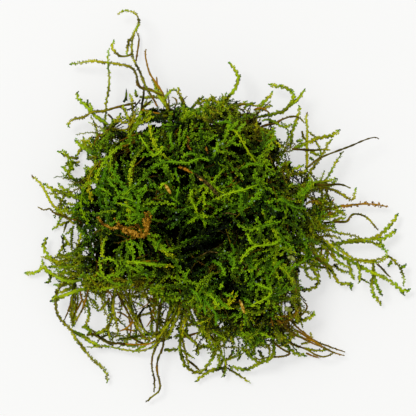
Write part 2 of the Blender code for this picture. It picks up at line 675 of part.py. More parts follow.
def lying_line(route, radius, tree):
    """A line along the route that lies on the mat, clear of every lump under it."""
    line = route_line(route, lambda along: TOP_LEVEL)
    around = [Vector((math.cos(turn), math.sin(turn), 0)) * radius
              for turn in (0, math.pi / 2, math.pi, 3 * math.pi / 2)]
    level = [max(top_of(tree, at + shift) for shift in around) for at in line]
    window = round(LYING_SPAN / FINE_STEP)
    for i, at in enumerate(line):
        at.z = max(level[max(0, i - window):i + window + 1]) + radius + CLEARANCE
    return line


def build_sprig(tree, look):
    """The dead sprig: a stem swollen by its scale leaves at every second ring, with one side twig."""
    stem, twig = [lying_line(route, SPRIG_RADIUS * SPRIG_SCALES, tree) for route in SPRIG]
    twig[-1] = min(stem, key=lambda at: (at - twig[-1]).length).copy()
    parts = []
    for line in (stem, twig[::-1]):
        points = evenly(line, round(line_length(line) / SPRIG_RING))
        radii = []
        for j in range(len(points)):
            swell = SPRIG_SCALES if j % 2 else SPRIG_NECKS
            radii.append(SPRIG_RADIUS * swell * (1 - SPRIG_TAPER * j / len(points)))
        parts.append(tube("sprig_run", points, radii))
    place("dead_cedar_sprig", united(parts[0], parts[1:], "dead_cedar_sprig"), look)


def build():
    """The whole clump."""
    for old in list(bpy.data.objects):
        bpy.data.objects.remove(old)
    finish = {name: material(name, *values) for name, values in FINISHES.items()}
    looks = {LEAFY: finish["moss_leaf"], STEM: finish["moss_stem"], THREAD: finish["moss_stem"]}

    plain = plain_mat()
    plain_tree = tree_of(plain)
    mat = united(plain, tuft_meshes(plain_tree) + lock_meshes(plain_tree), "moss_cushion")
    place("moss_cushion", mat, finish["moss_mat"])
    mat_tree = tree_of(mat)
    build_strays(mat_tree, looks)

    build_sprig(mat_tree, finish["dead_cedar"])
    for name, radius, route in SLIVERS:
        line = lying_line(route, radius, mat_tree)
        place(name, shoot_tube(name, line, radius), finish["dry_straw"])


build()
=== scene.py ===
"""The looks of a loose clump of creeping moss: leafy shoots, bare stems and dry litter, on a pale floor.

Metres, +Z up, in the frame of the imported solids. The plan is the clump as seen from straight above, in
steps of 0.3 mm, with its own x to the right and y down. The shoots of the mat creep over its form, and
every stray shoot follows its own route on the plan at the height that its solid has there. A route is
written as x,y pairs on the plan.
"""

import logging
import math
from dataclasses import dataclass, field
from enum import Enum

import bmesh
import bpy
import numpy as np
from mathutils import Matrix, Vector, noise
from mathutils.bvhtree import BVHTree


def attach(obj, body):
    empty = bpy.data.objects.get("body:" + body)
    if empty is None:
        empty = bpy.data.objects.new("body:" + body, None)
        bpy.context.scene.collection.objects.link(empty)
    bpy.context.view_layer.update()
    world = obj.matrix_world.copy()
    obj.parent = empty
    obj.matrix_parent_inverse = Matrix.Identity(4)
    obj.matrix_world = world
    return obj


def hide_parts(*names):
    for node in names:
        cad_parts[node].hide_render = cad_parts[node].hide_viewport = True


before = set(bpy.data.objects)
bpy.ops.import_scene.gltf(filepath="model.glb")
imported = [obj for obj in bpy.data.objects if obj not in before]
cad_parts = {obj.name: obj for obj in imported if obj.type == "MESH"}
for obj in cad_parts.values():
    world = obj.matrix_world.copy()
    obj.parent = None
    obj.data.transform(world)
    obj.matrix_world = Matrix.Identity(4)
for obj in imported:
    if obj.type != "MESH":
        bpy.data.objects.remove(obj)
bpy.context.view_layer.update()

Array = np.ndarray
Chance = np.random.Generator
Finishes = dict[str, bpy.types.Material]  # by name
Pair = tuple[float, float]

LOG = logging.getLogger("moss_clump")
MM = 0.001
BODY = "root"
COLOUR_MAP = "OFBake"  # the UV map that holds each face's place in the finish's colours
UP = np.array((0.0, 0.0, 1.0))
EAST = np.array((1.0, 0.0, 0.0))
FLOOR_GAP = 0.12 * MM  # nothing reaches lower than this
GREENEST = 0.90  # the last place in the tones that is a leaf's own; past it lies the pale colour of a painted glint
LINE_STEP = 0.5 * MM
RIM_HEIGHT = 6 * MM  # the height at which routes at the rim are read
TOP_HEIGHT = 25 * MM  # and those on top of the mat
SOLID_RADIUS = 0.5 * MM  # how far the middle of a stray's solid is below its top, about
UNSEEN_HEIGHT = 4 * MM  # the height of a solid that the eye doesn't see


@dataclass(frozen=True)
class Plan:
    """The clump as seen from straight above, from an eye over the middle of the plan."""

    step: float = 0.30 * MM
    width: int = 416
    axis: Pair = (208, 208)
    origin: Pair = (200, 222)
    eye_height: float = 800 * MM

    def place(self, x: Array, y: Array, height: Array) -> Array:
        """The places at these heights that lie on plan points (x, y) as seen from the eye.

        Args:
            x: Plan places to the right.
            y: Plan places down.
            height: Heights above the floor.

        Returns:
            One row of three metres for each point.
        """
        height = np.broadcast_to(height, np.shape(x))
        seen = 1 - height / self.eye_height
        across = (self.axis[0] - self.origin[0]) + (np.asarray(x) - self.axis[0]) * seen
        up = (self.origin[1] - self.axis[1]) + (self.axis[1] - np.asarray(y)) * seen
        return np.stack((across * self.step, up * self.step, height), axis=-1)

    def seen(self, places: Array) -> tuple[Array, Array]:
        """The plan points at which the eye sees some places.

        Args:
            places: Rows of three metres.

        Returns:
            Their plan places to the right, and those down.
        """
        seen = 1 - places[:, 2] / self.eye_height
        x = self.axis[0] + (places[:, 0] / self.step - (self.axis[0] - self.origin[0])) / seen
        y = self.axis[1] - (places[:, 1] / self.step - (self.origin[1] - self.axis[1])) / seen
        return x, y

    def line(self, flat: Array, height: Array | float) -> Array:
        """The line that lies on flat plan points at these heights, as seen from the eye."""
        return self.place(flat[:, 0], flat[:, 1], height)

    def eye(self) -> Vector:
        """The place of the eye."""
        ground = self.place(np.array(self.axis[0]), np.array(self.axis[1]), 0.0)
        return Vector(ground) + Vector((0, 0, self.eye_height))


PLAN = Plan()


def mm(*values: float) -> tuple[float, ...]:
    """Some millimetres in metres."""
    return tuple(value * MM for value in values)


def rows_of(text: str) -> Array:
    """The rows that are written in a text: numbers with commas between them, and a space after each row."""
    return np.array([row.split(",") for row in text.split()], float)


def unit(rows: Array) -> Array:
    """Each row at a length of one."""
    return rows / np.maximum(np.linalg.norm(rows, axis=-1, keepdims=True), 1e-12)


def smooth_line(points: Array, step: float) -> Array:
    """A smooth curve through some points.

    Args:
        points: One row for each point.
        step: About how far apart the curve's points are.

    Returns:
        The curve's points, the last of the given ones included.
    """
    ends = np.vstack((2 * points[0] - points[1], points, 2 * points[-1] - points[-2]))
    line = []
    for before, start, end, after in zip(ends, ends[1:], ends[2:], ends[3:]):
        parts = max(1, round(float(np.linalg.norm(end - start)) / step))
        t = (np.arange(parts) / parts)[:, None]
        line.append(0.5 * (
            2 * start
            + (end - before) * t
            + (2 * before - 5 * start + 4 * end - after) * t ** 2
            + (3 * start - before - 3 * end + after) * t ** 3
        ))
    line.append(points[-1:])
    return np.vstack(line)


def plan_curve(route: str) -> Array:
    """The plan points of a smooth curve along a route."""
    return smooth_line(rows_of(route), LINE_STEP / PLAN.step)


def reach_of(line: Array) -> Array:
    """How far along the line each of its points is."""
    return np.concatenate(((0.0,), np.cumsum(np.linalg.norm(np.diff(line, axis=0), axis=1))))


def at_reach(line: Array, reach: Array, wanted: Array) -> Array:
    """The values of a line's rows at the wanted distances, where reach is how far along each row is."""
    return np.stack([np.interp(wanted, reach, column) for column in line.T], axis=1)


def evened(values: Array, width: int) -> Array:
    """The running mean of some values, over an odd number of them."""
    return np.convolve(np.pad(values, width // 2, mode="edge"), np.ones(width) / width, "valid")


def tangents_of(line: Array) -> Array:
    """The direction of a line at each of its points."""
    return unit(np.gradient(line, axis=0))


def sides_of(tangents: Array) -> tuple[Array, Array]:
    """Two directions square to each tangent: a level one, and one that faces up."""
    side = np.cross(tangents, UP)
    steep = np.linalg.norm(side, axis=1) < 0.1
    side[steep] = np.cross(tangents[steep], EAST)
    side = unit(side)
    return side, np.cross(side, tangents)


@dataclass(frozen=True)
class ShootLook:
    """How a shoot looks. Tones and shades are places in the colours of a finish, at root and at tip."""

    stem: float  # its radius, in millimetres like the next two
    leaf: float  # a leaf's length
    spacing: float  # between leaves
    tone: Pair
    shade: Pair
    leafy_from: float = 0.0  # the share of its length that is bare
    spread: float = 56  # of the leaves from the stem, in degrees
    flat: float = 0.5  # how much less the leaves stand up than out
    width: float = 0.60  # of a leaf, as a share of its length
    ragged: float = 0.10  # how unevenly the leaves stand
    bud: float = 0.0  # how much darker the tip bud is
    bud_tone: float = 0.75
    stem_tone: float = 0.0  # beside the leaves
    # A stem is darker than its leaves: partly its own colour, partly painted shade in the gaps between the
    # leaves
    stem_shade: float = -0.20
    mottle: Pair = (0.02, 0.07)  # how far tone and shade wander along the shoot
    painted_glint: float = 0.013  # the share of leaves that get a pale painted glint


class Kind(Enum):
    """The kinds of shoot and stem that the clump shows, each with its look."""

    # Leafy shoots of the mat
    LIME = ShootLook(0.24, 0.80, 0.34, (0.68, 0.58), (0.62, 0.96), width=0.90, bud=0.30)
    GREEN = ShootLook(0.24, 0.78, 0.34, (0.80, 0.70), (0.50, 0.88), width=0.90, bud=0.05)
    DARK = ShootLook(0.24, 0.76, 0.35, (0.88, 0.82), (0.34, 0.56), width=0.90, bud=0.1)
    MAT = ShootLook(0.23, 0.70, 0.31, (0.62, 0.58), (0.46, 0.80), width=0.84, bud=0.1, mottle=(0.05, 0.10))
    FINE = ShootLook(0.20, 0.62, 0.30, (0.62, 0.54), (0.48, 0.84), width=0.80, bud=0.2, mottle=(0.05, 0.12))
    OLD = ShootLook(0.42, 1.9, 0.55, (0.60, 0.70), (0.30, 0.36), painted_glint=0.0)
    # Leafy shoots that stand clear of it
    EDGE = ShootLook(
        0.28, 0.82, 0.29, (0.55, 0.48), (0.66, 0.98), spread=54, width=0.76, bud=0.50, stem_shade=-0.36,
        mottle=(0.04, 0.13),
    )
    STRAY = ShootLook(
        0.25, 0.80, 0.30, (0.57, 0.49), (0.54, 0.92), spread=54, width=0.76, bud=0.15, stem_tone=-0.06,
        stem_shade=-0.30, mottle=(0.04, 0.12),
    )
    DUSKY = ShootLook(
        0.25, 0.76, 0.30, (0.56, 0.48), (0.44, 0.78), spread=54, width=0.76, bud=0.1, stem_tone=-0.08,
        stem_shade=-0.26, mottle=(0.05, 0.14),
    )
    OLIVE = ShootLook(
        0.23, 0.70, 0.30, (0.42, 0.50), (0.54, 0.84), width=0.78, bud=0.2, stem_tone=-0.10,
        mottle=(0.04, 0.10),
    )
    YELLOW = ShootLook(
        0.25, 0.66, 0.30, (0.38, 0.44), (0.74, 0.92), bud=0.45, bud_tone=0.05, stem_shade=-0.22
    )
    DEAD = ShootLook(
        0.25, 0.95, 0.33, (0.16, 0.11), (0.80, 0.94), flat=0.8, ragged=0.8, bud=0.1, bud_tone=0.1,
        mottle=(0.08, 0.16),
    )
    TIPPED = ShootLook(
        0.25, 0.68, 0.30, (0.22, 0.47), (0.56, 0.94), leafy_from=0.30, bud=0.25, stem_shade=-0.24,
        mottle=(0.06, 0.14),
    )
    # Woody stems with small leaves
    TWIG = ShootLook(
        0.20, 0.72, 0.30, (0.43, 0.50), (0.60, 0.90), spread=52, ragged=0.30, stem_tone=-0.03,
        stem_shade=-0.34, mottle=(0.07, 0.18),
    )
    STALK = ShootLook(
        0.26, 0.56, 0.35, (0.26, 0.38), (0.46, 0.66), spread=46, ragged=0.35, stem_tone=-0.06,
        stem_shade=-0.26, mottle=(0.07, 0.17),
    )
    BROWN = ShootLook(
        0.22, 0.50, 0.36, (0.14, 0.27), (0.68, 0.80), spread=44, ragged=0.35, stem_tone=-0.03,
        mottle=(0.07, 0.18),
    )
    ORANGE = ShootLook(
        0.22, 0.48, 0.36, (0.04, 0.14), (0.84, 0.94), spread=42, ragged=0.35, stem_shade=-0.08,
        mottle=(0.05, 0.14),
    )
    BARE = ShootLook(0.22, 0.36, 0.55, (0.24, 0.18), (0.44, 0.36), spread=44, stem_shade=-0.06)
    BED_STEM = ShootLook(1.05, 0.0, 1.0, (0.24, 0.24), (0.27, 0.27), leafy_from=1.0, stem_shade=0.0)


def shoots_of(text: str) -> list[tuple[Kind, str]]:
    """The kinds and routes of shoots that are written one to a line."""
    lines = [line.split(maxsplit=1) for line in text.strip().splitlines()]
    return [(Kind[word.upper()], route) for word, route in lines]


def pick(kinds: tuple[Kind, ...], chance: Chance) -> ShootLook:
    """The look of one of some kinds, picked by chance."""
    return kinds[chance.integers(len(kinds))].value


@dataclass(frozen=True)
class Habit:
    """How every shoot grows, whatever its look."""

    taper: float = 0.5  # how much thinner a stem is at its tip
    bud_length: float = 1.1 * MM
    bud_turn: float = 4  # how soon a bud that is darker takes its own tone
    roll: float = 0.35  # how unevenly shoots lie on their sides, in radians
    turn: float = 0.30  # how unevenly leaves go round the stem, in radians
    first: float = 0.6  # the place of the first leaf, and its length, as a share of the next one's
    growing: float = 3  # how soon leaves are full grown, along the shoot
    closed: float = 0.7  # how much less the leaves at the tip spread
    short: float = 0.35  # and how much shorter they are
    facing: Pair = (0.85, 0.15)  # how much a leaf faces up and ahead
    uneven: float = 0.12  # how unevenly leaves face
    lengths: Pair = (0.82, 1.15)  # the shortest and the longest leaf beside the look's own
    noise: Pair = (0.03, 0.21)  # how much tone and shade differ from leaf to leaf
    painted_glint_look: Pair = (0.98, 0.66)  # the tone and shade of a leaf's painted glint
    painted_glint_from: float = 0.6  # the shade under which a leaf with a painted glint is dimmer too
    rib: float = 0.5  # how much lighter a leaf is on its rib
    apart: Pair = (0.010, 0.015)  # how far a stem's faces are from alike, round it and along it


HABIT = Habit()


@dataclass(frozen=True)
class LeafShape:
    """A leaf along +X from 0 to 1, as wide as 1 along Y, modelled from a low cone.

    The cone's rim becomes the leaf's outline and its point the rib. A rim of three is the leaf of the
    crowd, a tetrahedron whose outline is a lozenge. A wider rim has a keel under the rib.
    """

    name: str
    outline: tuple[tuple[float, float, float], ...]  # of the rim
    rib: tuple[float, float, float]
    keel: tuple[float, float, float] | None = None

    def model(self) -> tuple[Array, Array]:
        """Models the leaf once.

        Returns:
            The leaf's points and its triangles.
        """
        bpy.ops.object.select_all(action="DESELECT")
        bpy.ops.mesh.primitive_cone_add(
            vertices=len(self.outline), radius1=1, radius2=0, depth=1,
            end_fill_type="TRIFAN" if self.keel else "NGON",
        )
        leaf = bpy.context.object
        leaf.name = self.name
        bpy.ops.object.mode_set(mode="EDIT")
        shape = bmesh.from_edit_mesh(leaf.data)
        moves = []
        for vert in shape.verts:
            if vert.co.z > 0:
                moves.append((vert.index, self.rib))
            elif vert.co.xy.length < 0.5:
                moves.append((vert.index, self.keel))
            else:
                turn = math.atan2(vert.co.y, vert.co.x) % (2 * math.pi)
                corner = round(turn / (2 * math.pi) * len(self.outline)) % len(self.outline)
                moves.append((vert.index, self.outline[corner]))
        for index, goal in moves:
            bpy.ops.mesh.select_all(action="DESELECT")
            shape.verts.ensure_lookup_table()
            vert = shape.verts[index]
            vert.select_set(True)
            bpy.ops.transform.translate(value=Vector(goal) - vert.co)
        bpy.ops.mesh.select_all(action="SELECT")
        bpy.ops.mesh.normals_make_consistent(inside=False)
        bpy.ops.object.mode_set(mode="OBJECT")
        leaf.data.calc_loop_triangles()
        points = np.array([vert.co for vert in leaf.data.vertices])
        faces = np.array([face.vertices for face in leaf.data.loop_triangles])
        bpy.data.objects.remove(leaf)
        return points, faces


CROWD_LEAF = LeafShape(
    "crowd_leaf",
    outline=((1.0, 0.0, 0.0), (0.60, 0.5, -0.06), (0.60, -0.5, -0.06)),
    rib=(0.0, 0.0, 0.02),
)
FINE_LEAF = LeafShape(
    "fine_leaf",
    outline=(
        (1.0, 0.0, -0.02), (0.70, 0.36, -0.05), (0.28, 0.48, -0.06),
        (0.0, 0.0, 0.0), (0.28, -0.48, -0.06), (0.70, -0.36, -0.05),
    ),
    rib=(0.45, 0.0, 0.09),
    keel=(0.45, 0.0, -0.03),
)
SCALE_LEAF = LeafShape(
    "scale_leaf",
    outline=(
        (1.0, 0.0, 0.10), (0.62, 0.42, 0.02), (0.20, 0.55, -0.04),
        (0.0, 0.0, -0.05), (0.20, -0.55, -0.04), (0.62, -0.42, 0.02),
    ),
    rib=(0.50, 0.0, 0.34),
    keel=(0.50, 0.0, -0.08),
)


class Part(Enum):
    """The two parts of a shoot, as slots of its piece's materials."""

    LEAF = 0
    STEM = 1


@dataclass
class Foliage:
    """The stems and leaves of one piece, gathered until they are made one mesh."""

    name: str
    leaf: LeafShape
    chance: Chance  # the source of its irregularities
    stem_sides: int = 3
    stem_step: float = 1.5 * MM
    leaf_tone_width: float = 0.016  # how far a leaf spreads over the tones, side to side
    leaf_painted_shade_length: float = 0.80  # and over the shades, from its base to its tip: painted shade at its base, painted light at its tip
    leaf_middle: float = 0.58  # the share of a leaf's length at which it has its own shade, with no painted shade or light
    stem_painted_light: float = 0.25  # how much lighter a stem is painted on top than at its sides: painted light and shade
    wander: float = 1.8 * MM  # how fast tone and shade wander along a shoot
    knobbly: float = 0.16  # how much a stem's radius varies
    coarse: float = 1.0  # how far apart the leaves are, beside the look's own spacing
    seeds: list[Array] = field(default_factory=list)
    places: list[Array] = field(default_factory=list)
    faces: list[Array] = field(default_factory=list)
    colours: list[Array] = field(default_factory=list)
    parts: list[Array] = field(default_factory=list)
    count: int = 0

    def add(self, places: Array, faces: Array, colours: Array, part: Part) -> None:
        """Adds a stretch of mesh.

        Args:
            places: Its points.
            faces: Its triangles, counted from its own first point.
            colours: Each point's tone and shade.
            part: The part of a shoot that it is.
        """
        self.places.append(places)
        self.faces.append(faces + self.count)
        self.colours.append(colours)
        self.parts.append(np.full(len(faces), part.value, np.int32))
        self.count += len(places)

    def stem(self, line: Array, radii: Array, colours: Array) -> None:
        """Adds a closed tube.

        Args:
            line: The points of its middle.
            radii: Its radius at each point.
            colours: The tone and shade at each point.
        """
        sides = self.stem_sides
        side, up = sides_of(tangents_of(line))
        turn = np.arange(sides) / sides * 2 * math.pi
        ring = np.cos(turn)[:, None] * side[:, None] + np.sin(turn)[:, None] * up[:, None]
        places = line[:, None] + ring * radii[:, None, None]
        # Its top is painted lighter and its sides darker, as painted light and shade, and no two corners of
        # a face have quite the same place in the colours
        round_it = np.sin(turn) + HABIT.apart[0] * (np.arange(sides) % 2)
        spread = np.stack((np.arange(sides) / sides - 0.5, round_it), axis=1)
        looks = colours[:, None] + spread * (self.leaf_tone_width, self.stem_painted_light)
        looks[1::2, :, 1] += HABIT.apart[1]
        faces = []
        for i in range(len(line) - 1):
            for j in range(sides):
                k = (j + 1) % sides
                low, high = i * sides, (i + 1) * sides
                faces += [(low + j, high + j, high + k), (low + j, high + k, low + k)]
        last = (len(line) - 1) * sides
        for j in range(1, sides - 1):
            faces += [(0, j, j + 1), (last, last + j + 1, last + j)]
        self.add(places.reshape(-1, 3), np.array(faces), looks.reshape(-1, 2), Part.STEM)

    def shoot(self, line: Array, look: ShootLook, tone: Array | float,
              shade: Array | float, size: float = 1.0) -> None:
        """Adds a stem with its leaves.

        Args:
            line: The points of its middle, root first.
            look: How it looks.
            tone: How far its tones are moved, for all of it or at each point.
            shade: How far its shades are moved, for all of it or at each point.
            size: How large it is beside the look's own size.
        """
        chance = self.chance
        reach = reach_of(line)
        total = reach[-1]
        tone = np.broadcast_to(tone, len(line))
        shade = np.broadcast_to(shade, len(line))
        knots = np.linspace(0, total, max(2, round(total / self.wander)))
        wander = chance.normal(0, 1, (len(knots), 2)) * look.mottle

        def tip_at(wanted: Array) -> Array:
            """How far into the tip bud some distances along the shoot are, from 0 to 1."""
            return np.clip((wanted - total + HABIT.bud_length) / HABIT.bud_length, 0, 1)

        def colours_at(wanted: Array) -> tuple[Array, Array]:
            """The tones and shades at some distances along the shoot."""
            share = wanted / total
            bud = tip_at(wanted) * min(1.0, look.bud * HABIT.bud_turn)
            tones = look.tone[0] + (look.tone[1] - look.tone[0]) * share
            tones = tones + np.interp(wanted, reach, tone) + np.interp(wanted, knots, wander[:, 0])
            shades = look.shade[0] + (look.shade[1] - look.shade[0]) * share
            shades = shades + np.interp(wanted, reach, shade) + np.interp(wanted, knots, wander[:, 1])
            return tones + (look.bud_tone - tones) * bud, shades - look.bud * bud

        rings = np.linspace(0, total, max(3, round(total / self.stem_step) + 1))
        tones, shades = colours_at(rings)
        radii = look.stem * MM * size * (1 - HABIT.taper * (rings / total) ** 3)
        radii = radii * chance.uniform(1 - self.knobbly, 1 + self.knobbly, len(rings))
        tones = np.minimum(tones + look.stem_tone, GREENEST)
        self.stem(at_reach(line, reach, rings), radii, np.stack((tones, shades + look.stem_shade), axis=1))
        count = round((1 - look.leafy_from) * total / (look.spacing * MM * self.coarse))
        if count < 1:
            return
        along = (np.arange(count) + HABIT.first) / count
        wanted = (look.leafy_from + (1 - look.leafy_from) * along) * total
        roots = at_reach(line, reach, wanted)
        tangents = unit(at_reach(tangents_of(line), reach, wanted))
        side, up = sides_of(tangents)
        roll = chance.normal(0, HABIT.roll)
        side, up = side * math.cos(roll) + up * math.sin(roll), up * math.cos(roll) - side * math.sin(roll)
        # Leaves stand left and right in turn, and every third one on top or below
        turn = (np.arange(count) * math.pi + chance.normal(0, HABIT.turn, count)
                + np.where(np.arange(count) % 3 == 2, math.pi / 2, 0.0))
        out = unit(np.cos(turn)[:, None] * side + look.flat * np.sin(turn)[:, None] * up)
        tip = tip_at(wanted)
        angle = math.radians(look.spread) * (1 - HABIT.closed * tip) + chance.normal(0, look.ragged, count)
        heading = np.cos(angle)[:, None] * tangents + np.sin(angle)[:, None] * out
        facing = HABIT.facing[0] * up + HABIT.facing[1] * tangents
        facing = facing + chance.normal(0, HABIT.uneven + look.ragged, (count, 3))
        young = np.clip(HABIT.first + along * HABIT.growing, 0, 1)
        length = look.leaf * MM * size * young * (1 - HABIT.short * tip)
        length = length * chance.uniform(*HABIT.lengths, count)
        tones, shades = colours_at(wanted)
        # A few leaves take a pale painted glint in place of their own colour
        painted_glint = chance.random(count) < look.painted_glint
        tones = np.minimum(tones + chance.normal(0, HABIT.noise[0], count), GREENEST)
        painted_glint_shades = HABIT.painted_glint_look[1] + np.minimum(shades - HABIT.painted_glint_from, 0)
        shades = np.where(painted_glint, painted_glint_shades, shades + chance.normal(0, HABIT.noise[1], count))
        tones = np.where(painted_glint, HABIT.painted_glint_look[0], tones)
        self.seeds.append(np.column_stack(
            (roots, heading, facing, length, length * look.width, tones, shades)
        ))

    def leaves(self) -> None:
        """Adds the mesh of every leaf that the shoots have."""
        if not self.seeds:
            return
        seeds = np.vstack(self.seeds)
        points, faces = self.leaf.model()
        heading = unit(seeds[:, 3:6])
        facing = seeds[:, 6:9]
        facing = unit(facing - heading * np.sum(facing * heading, axis=1, keepdims=True))
        side = np.cross(facing, heading)
        length, width = seeds[:, 9, None, None], seeds[:, 10, None, None]
        places = (
            seeds[:, None, 0:3]
            + points[None, :, 0:1] * length * heading[:, None]
            + points[None, :, 1:2] * width * side[:, None]
            + points[None, :, 2:3] * length * facing[:, None]
        )
        tones = seeds[:, 11, None] + points[:, 1] * self.leaf_tone_width
        # Painted shade at the leaf's base and painted light at its tip
        shades = seeds[:, 12, None] + (points[:, 0] - self.leaf_middle) * self.leaf_painted_shade_length
        shades = shades + np.maximum(points[:, 2], 0) * HABIT.rib
        starts = np.arange(len(seeds))[:, None, None] * len(points)
        self.add(places.reshape(-1, 3), (faces[None] + starts).reshape(-1, 3),
                 np.stack((tones, shades), axis=2).reshape(-1, 2), Part.LEAF)
        self.seeds = []

    def piece(self, leaf_finish: bpy.types.Material, stem_finish: bpy.types.Material) -> bpy.types.Object:
        """Makes the piece.

        Args:
            leaf_finish: The material of its leaves.
            stem_finish: The material of its stems.

        Returns:
            The object, at the origin.
        """
        self.leaves()
        places = np.vstack(self.places)
        places[:, 2] = np.maximum(places[:, 2], FLOOR_GAP)
        faces = np.vstack(self.faces)
        colours = np.clip(np.vstack(self.colours), 0.01, 0.99)
        parts = np.concatenate(self.parts)
        mesh = bpy.data.meshes.new(self.name)
        mesh.from_pydata(places, [], faces)
        mesh.polygons.foreach_set("material_index", parts)
        smooth = (parts == Part.STEM.value) | (len(self.leaf.outline) > 3)
        mesh.polygons.foreach_set("use_smooth", smooth)
        colour_map = mesh.uv_layers.new(name=COLOUR_MAP)
        colour_map.data.foreach_set("uv", colours[faces.ravel()].astype(np.float32).ravel())
        mesh.materials.append(leaf_finish)
        mesh.materials.append(stem_finish)
        mesh.update(calc_edges=True)
        made = bpy.data.objects.new(self.name, mesh)
        bpy.context.scene.collection.objects.link(made)
        LOG.info("%s: %d triangles", self.name, len(faces))
        return made


@dataclass
class MossForm:
    """The mat's form, smoothed. The shoots creep over it, and it isn't part of the clump itself."""

    node: str = "moss_cushion"
    voxel: float = 2.2 * MM
    smoothing: int = 6
    foot: float = 2 * MM  # under this height a line that creeps turns up, off the floor
    lowest: float = 0.6 * MM
    patch: float = 12 * MM  # the size of the mat's browner and greener patches
    patch_look: Pair = (0.08, 0.10)  # how much tone and shade vary over them
    rim_look: Pair = (-0.05, 0.04)  # how far they are moved where the form is steep
    # Painted shade: how much darker the hollows are
    hollow_painted_shade: float = -0.27
    tree: BVHTree = field(init=False)
    corners: Array = field(init=False)
    normals: Array = field(init=False)

    def __post_init__(self) -> None:
        """Models the form and keeps its faces."""
        bpy.ops.object.select_all(action="DESELECT")
        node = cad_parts[self.node]
        node.select_set(True)
        bpy.context.view_layer.objects.active = node
        bpy.ops.object.duplicate()
        form = bpy.context.object
        bpy.ops.object.mode_set(mode="EDIT")
        bpy.ops.mesh.select_all(action="SELECT")
        bpy.ops.mesh.remove_doubles(threshold=0.01 * MM)
        bpy.ops.object.mode_set(mode="OBJECT")
        remesh = form.modifiers.new("even", "REMESH")
        remesh.mode = "VOXEL"
        remesh.voxel_size = self.voxel
        smooth = form.modifiers.new("smooth", "SMOOTH")
        smooth.iterations = self.smoothing
        bpy.ops.object.modifier_apply(modifier=remesh.name)
        bpy.ops.object.modifier_apply(modifier=smooth.name)
        form.data.calc_loop_triangles()
        points = np.array([vert.co for vert in form.data.vertices])
        faces = np.array([face.vertices for face in form.data.loop_triangles])
        self.tree = BVHTree.FromPolygons(points.tolist(), faces.tolist())
        self.corners = points[faces]
        self.normals = unit(np.cross(
            self.corners[:, 1] - self.corners[:, 0], self.corners[:, 2] - self.corners[:, 0]
        ))
        bpy.data.objects.remove(form)

    def top(self, x: float, y: float) -> float:
        """The height of the form at this place, 0 where it isn't."""
        hit = self.tree.ray_cast(Vector((x, y, 1.0)), Vector((0, 0, -1)))[0]
        return hit.z if hit else 0.0

    def tops(self, line: Array) -> Array:
        """The height of the form at each point of a line."""
        return np.array([self.top(x, y) for x, y, _ in line])

    def starts(self, count: int, chance: Chance, facing_up: Pair, lowest: float) -> Array:
        """Picks places on the form, evenly by area.

        Args:
            count: How many.
            chance: The source of the picks.
            facing_up: The least and most that the surface there faces up, from -1 to 1.
            lowest: The least height.

        Returns:
            One row for each place.
        """
        edges = self.corners[:, 1:] - self.corners[:, :1]
        weight = np.linalg.norm(np.cross(edges[:, 0], edges[:, 1]), axis=1)
        up = self.normals[:, 2]
        weight = weight * (up >= facing_up[0]) * (up <= facing_up[1])
        weight = weight * (self.corners[:, :, 2].mean(axis=1) > lowest)
        picks = chance.choice(len(weight), size=count, p=weight / weight.sum())
        a, b = chance.random((2, count, 1))
        over = (a + b) > 1
        a, b = np.where(over, 1 - a, a), np.where(over, 1 - b, b)
        return self.corners[picks, 0] + a * edges[picks, 0] + b * edges[picks, 1]

    def creep(self, start: Array, heading: Array, lifts: Array, turns: Array,
              step: float) -> tuple[Array, Array]:
        """A line that creeps over the form.

        Args:
            start: Where it starts.
            heading: Its first direction.
            lifts: How far above the form each of its points is.
            turns: How far it turns to a side after each point.
            step: How far apart its points are.

        Returns:
            The line's points, and how far above the form each is.
        """
        at = Vector(start)
        ahead = Vector(heading)
        line = []
        for lift, turn in zip(lifts, turns):
            near, normal, _, _ = self.tree.find_nearest(at)
            if near.z < self.foot:
                normal = Vector((normal.x, normal.y, max(normal.z, 0.1))).normalized()
                ahead.z = max(ahead.z, 0.05)
            line.append((*(near + normal * lift), lift))
            ahead = (ahead - normal * ahead.dot(normal)).normalized()
            ahead = ahead * math.cos(turn) + normal.cross(ahead) * math.sin(turn)
            at = near + ahead * step
        line = smooth_line(np.array(line), LINE_STEP)
        line[:, 2] = np.maximum(line[:, 2], self.lowest)
        return line[:, :3], line[:, 3]

    def local_look(self, line: Array) -> tuple[float, Array]:
        """How far tones and shades are moved along a line: limes at the rim, and painted shade, near black,
        in the hollows.

        Args:
            line: The line's points.

        Returns:
            What is added to the tone, and to the shade at each point.
        """
        middle = line[len(line) // 2]
        _, normal, _, _ = self.tree.find_nearest(Vector(middle))
        rim = min(1.0, max(0.0, 1.0 - normal.z))
        patch = noise.noise(Vector(middle) / self.patch)
        x, y = PLAN.seen(line)
        tone, shade = VIEW.tint(float(x[len(x) // 2]), float(y[len(y) // 2]))
        tone = tone + self.rim_look[0] * rim + self.patch_look[0] * patch
        shade = shade + self.rim_look[1] * rim + self.patch_look[1] * patch
        return tone, shade + self.hollow_painted_shade * VIEW.hollowness(x, y)


# The edge of the dense mat on the plan
MAT_EDGE = rows_of(
    "101,131 114,121 130,115 150,110 170,108 190,106 205,103 222,99 240,103 256,107 266,113 273,124 "
    "278,138 284,152 291,163 303,173 314,184 321,196 325,210 328,226 330,240 322,252 312,260 302,268 "
    "297,280 297,294 300,306 300,322 294,336 282,344 266,348 250,352 236,355 222,352 208,346 196,336 "
    "186,322 176,306 160,300 146,288 130,286 118,290 104,296 90,292 80,282 72,268 72,250 75,232 70,216 "
    "68,200 74,184 79,168 86,153 93,141"
)
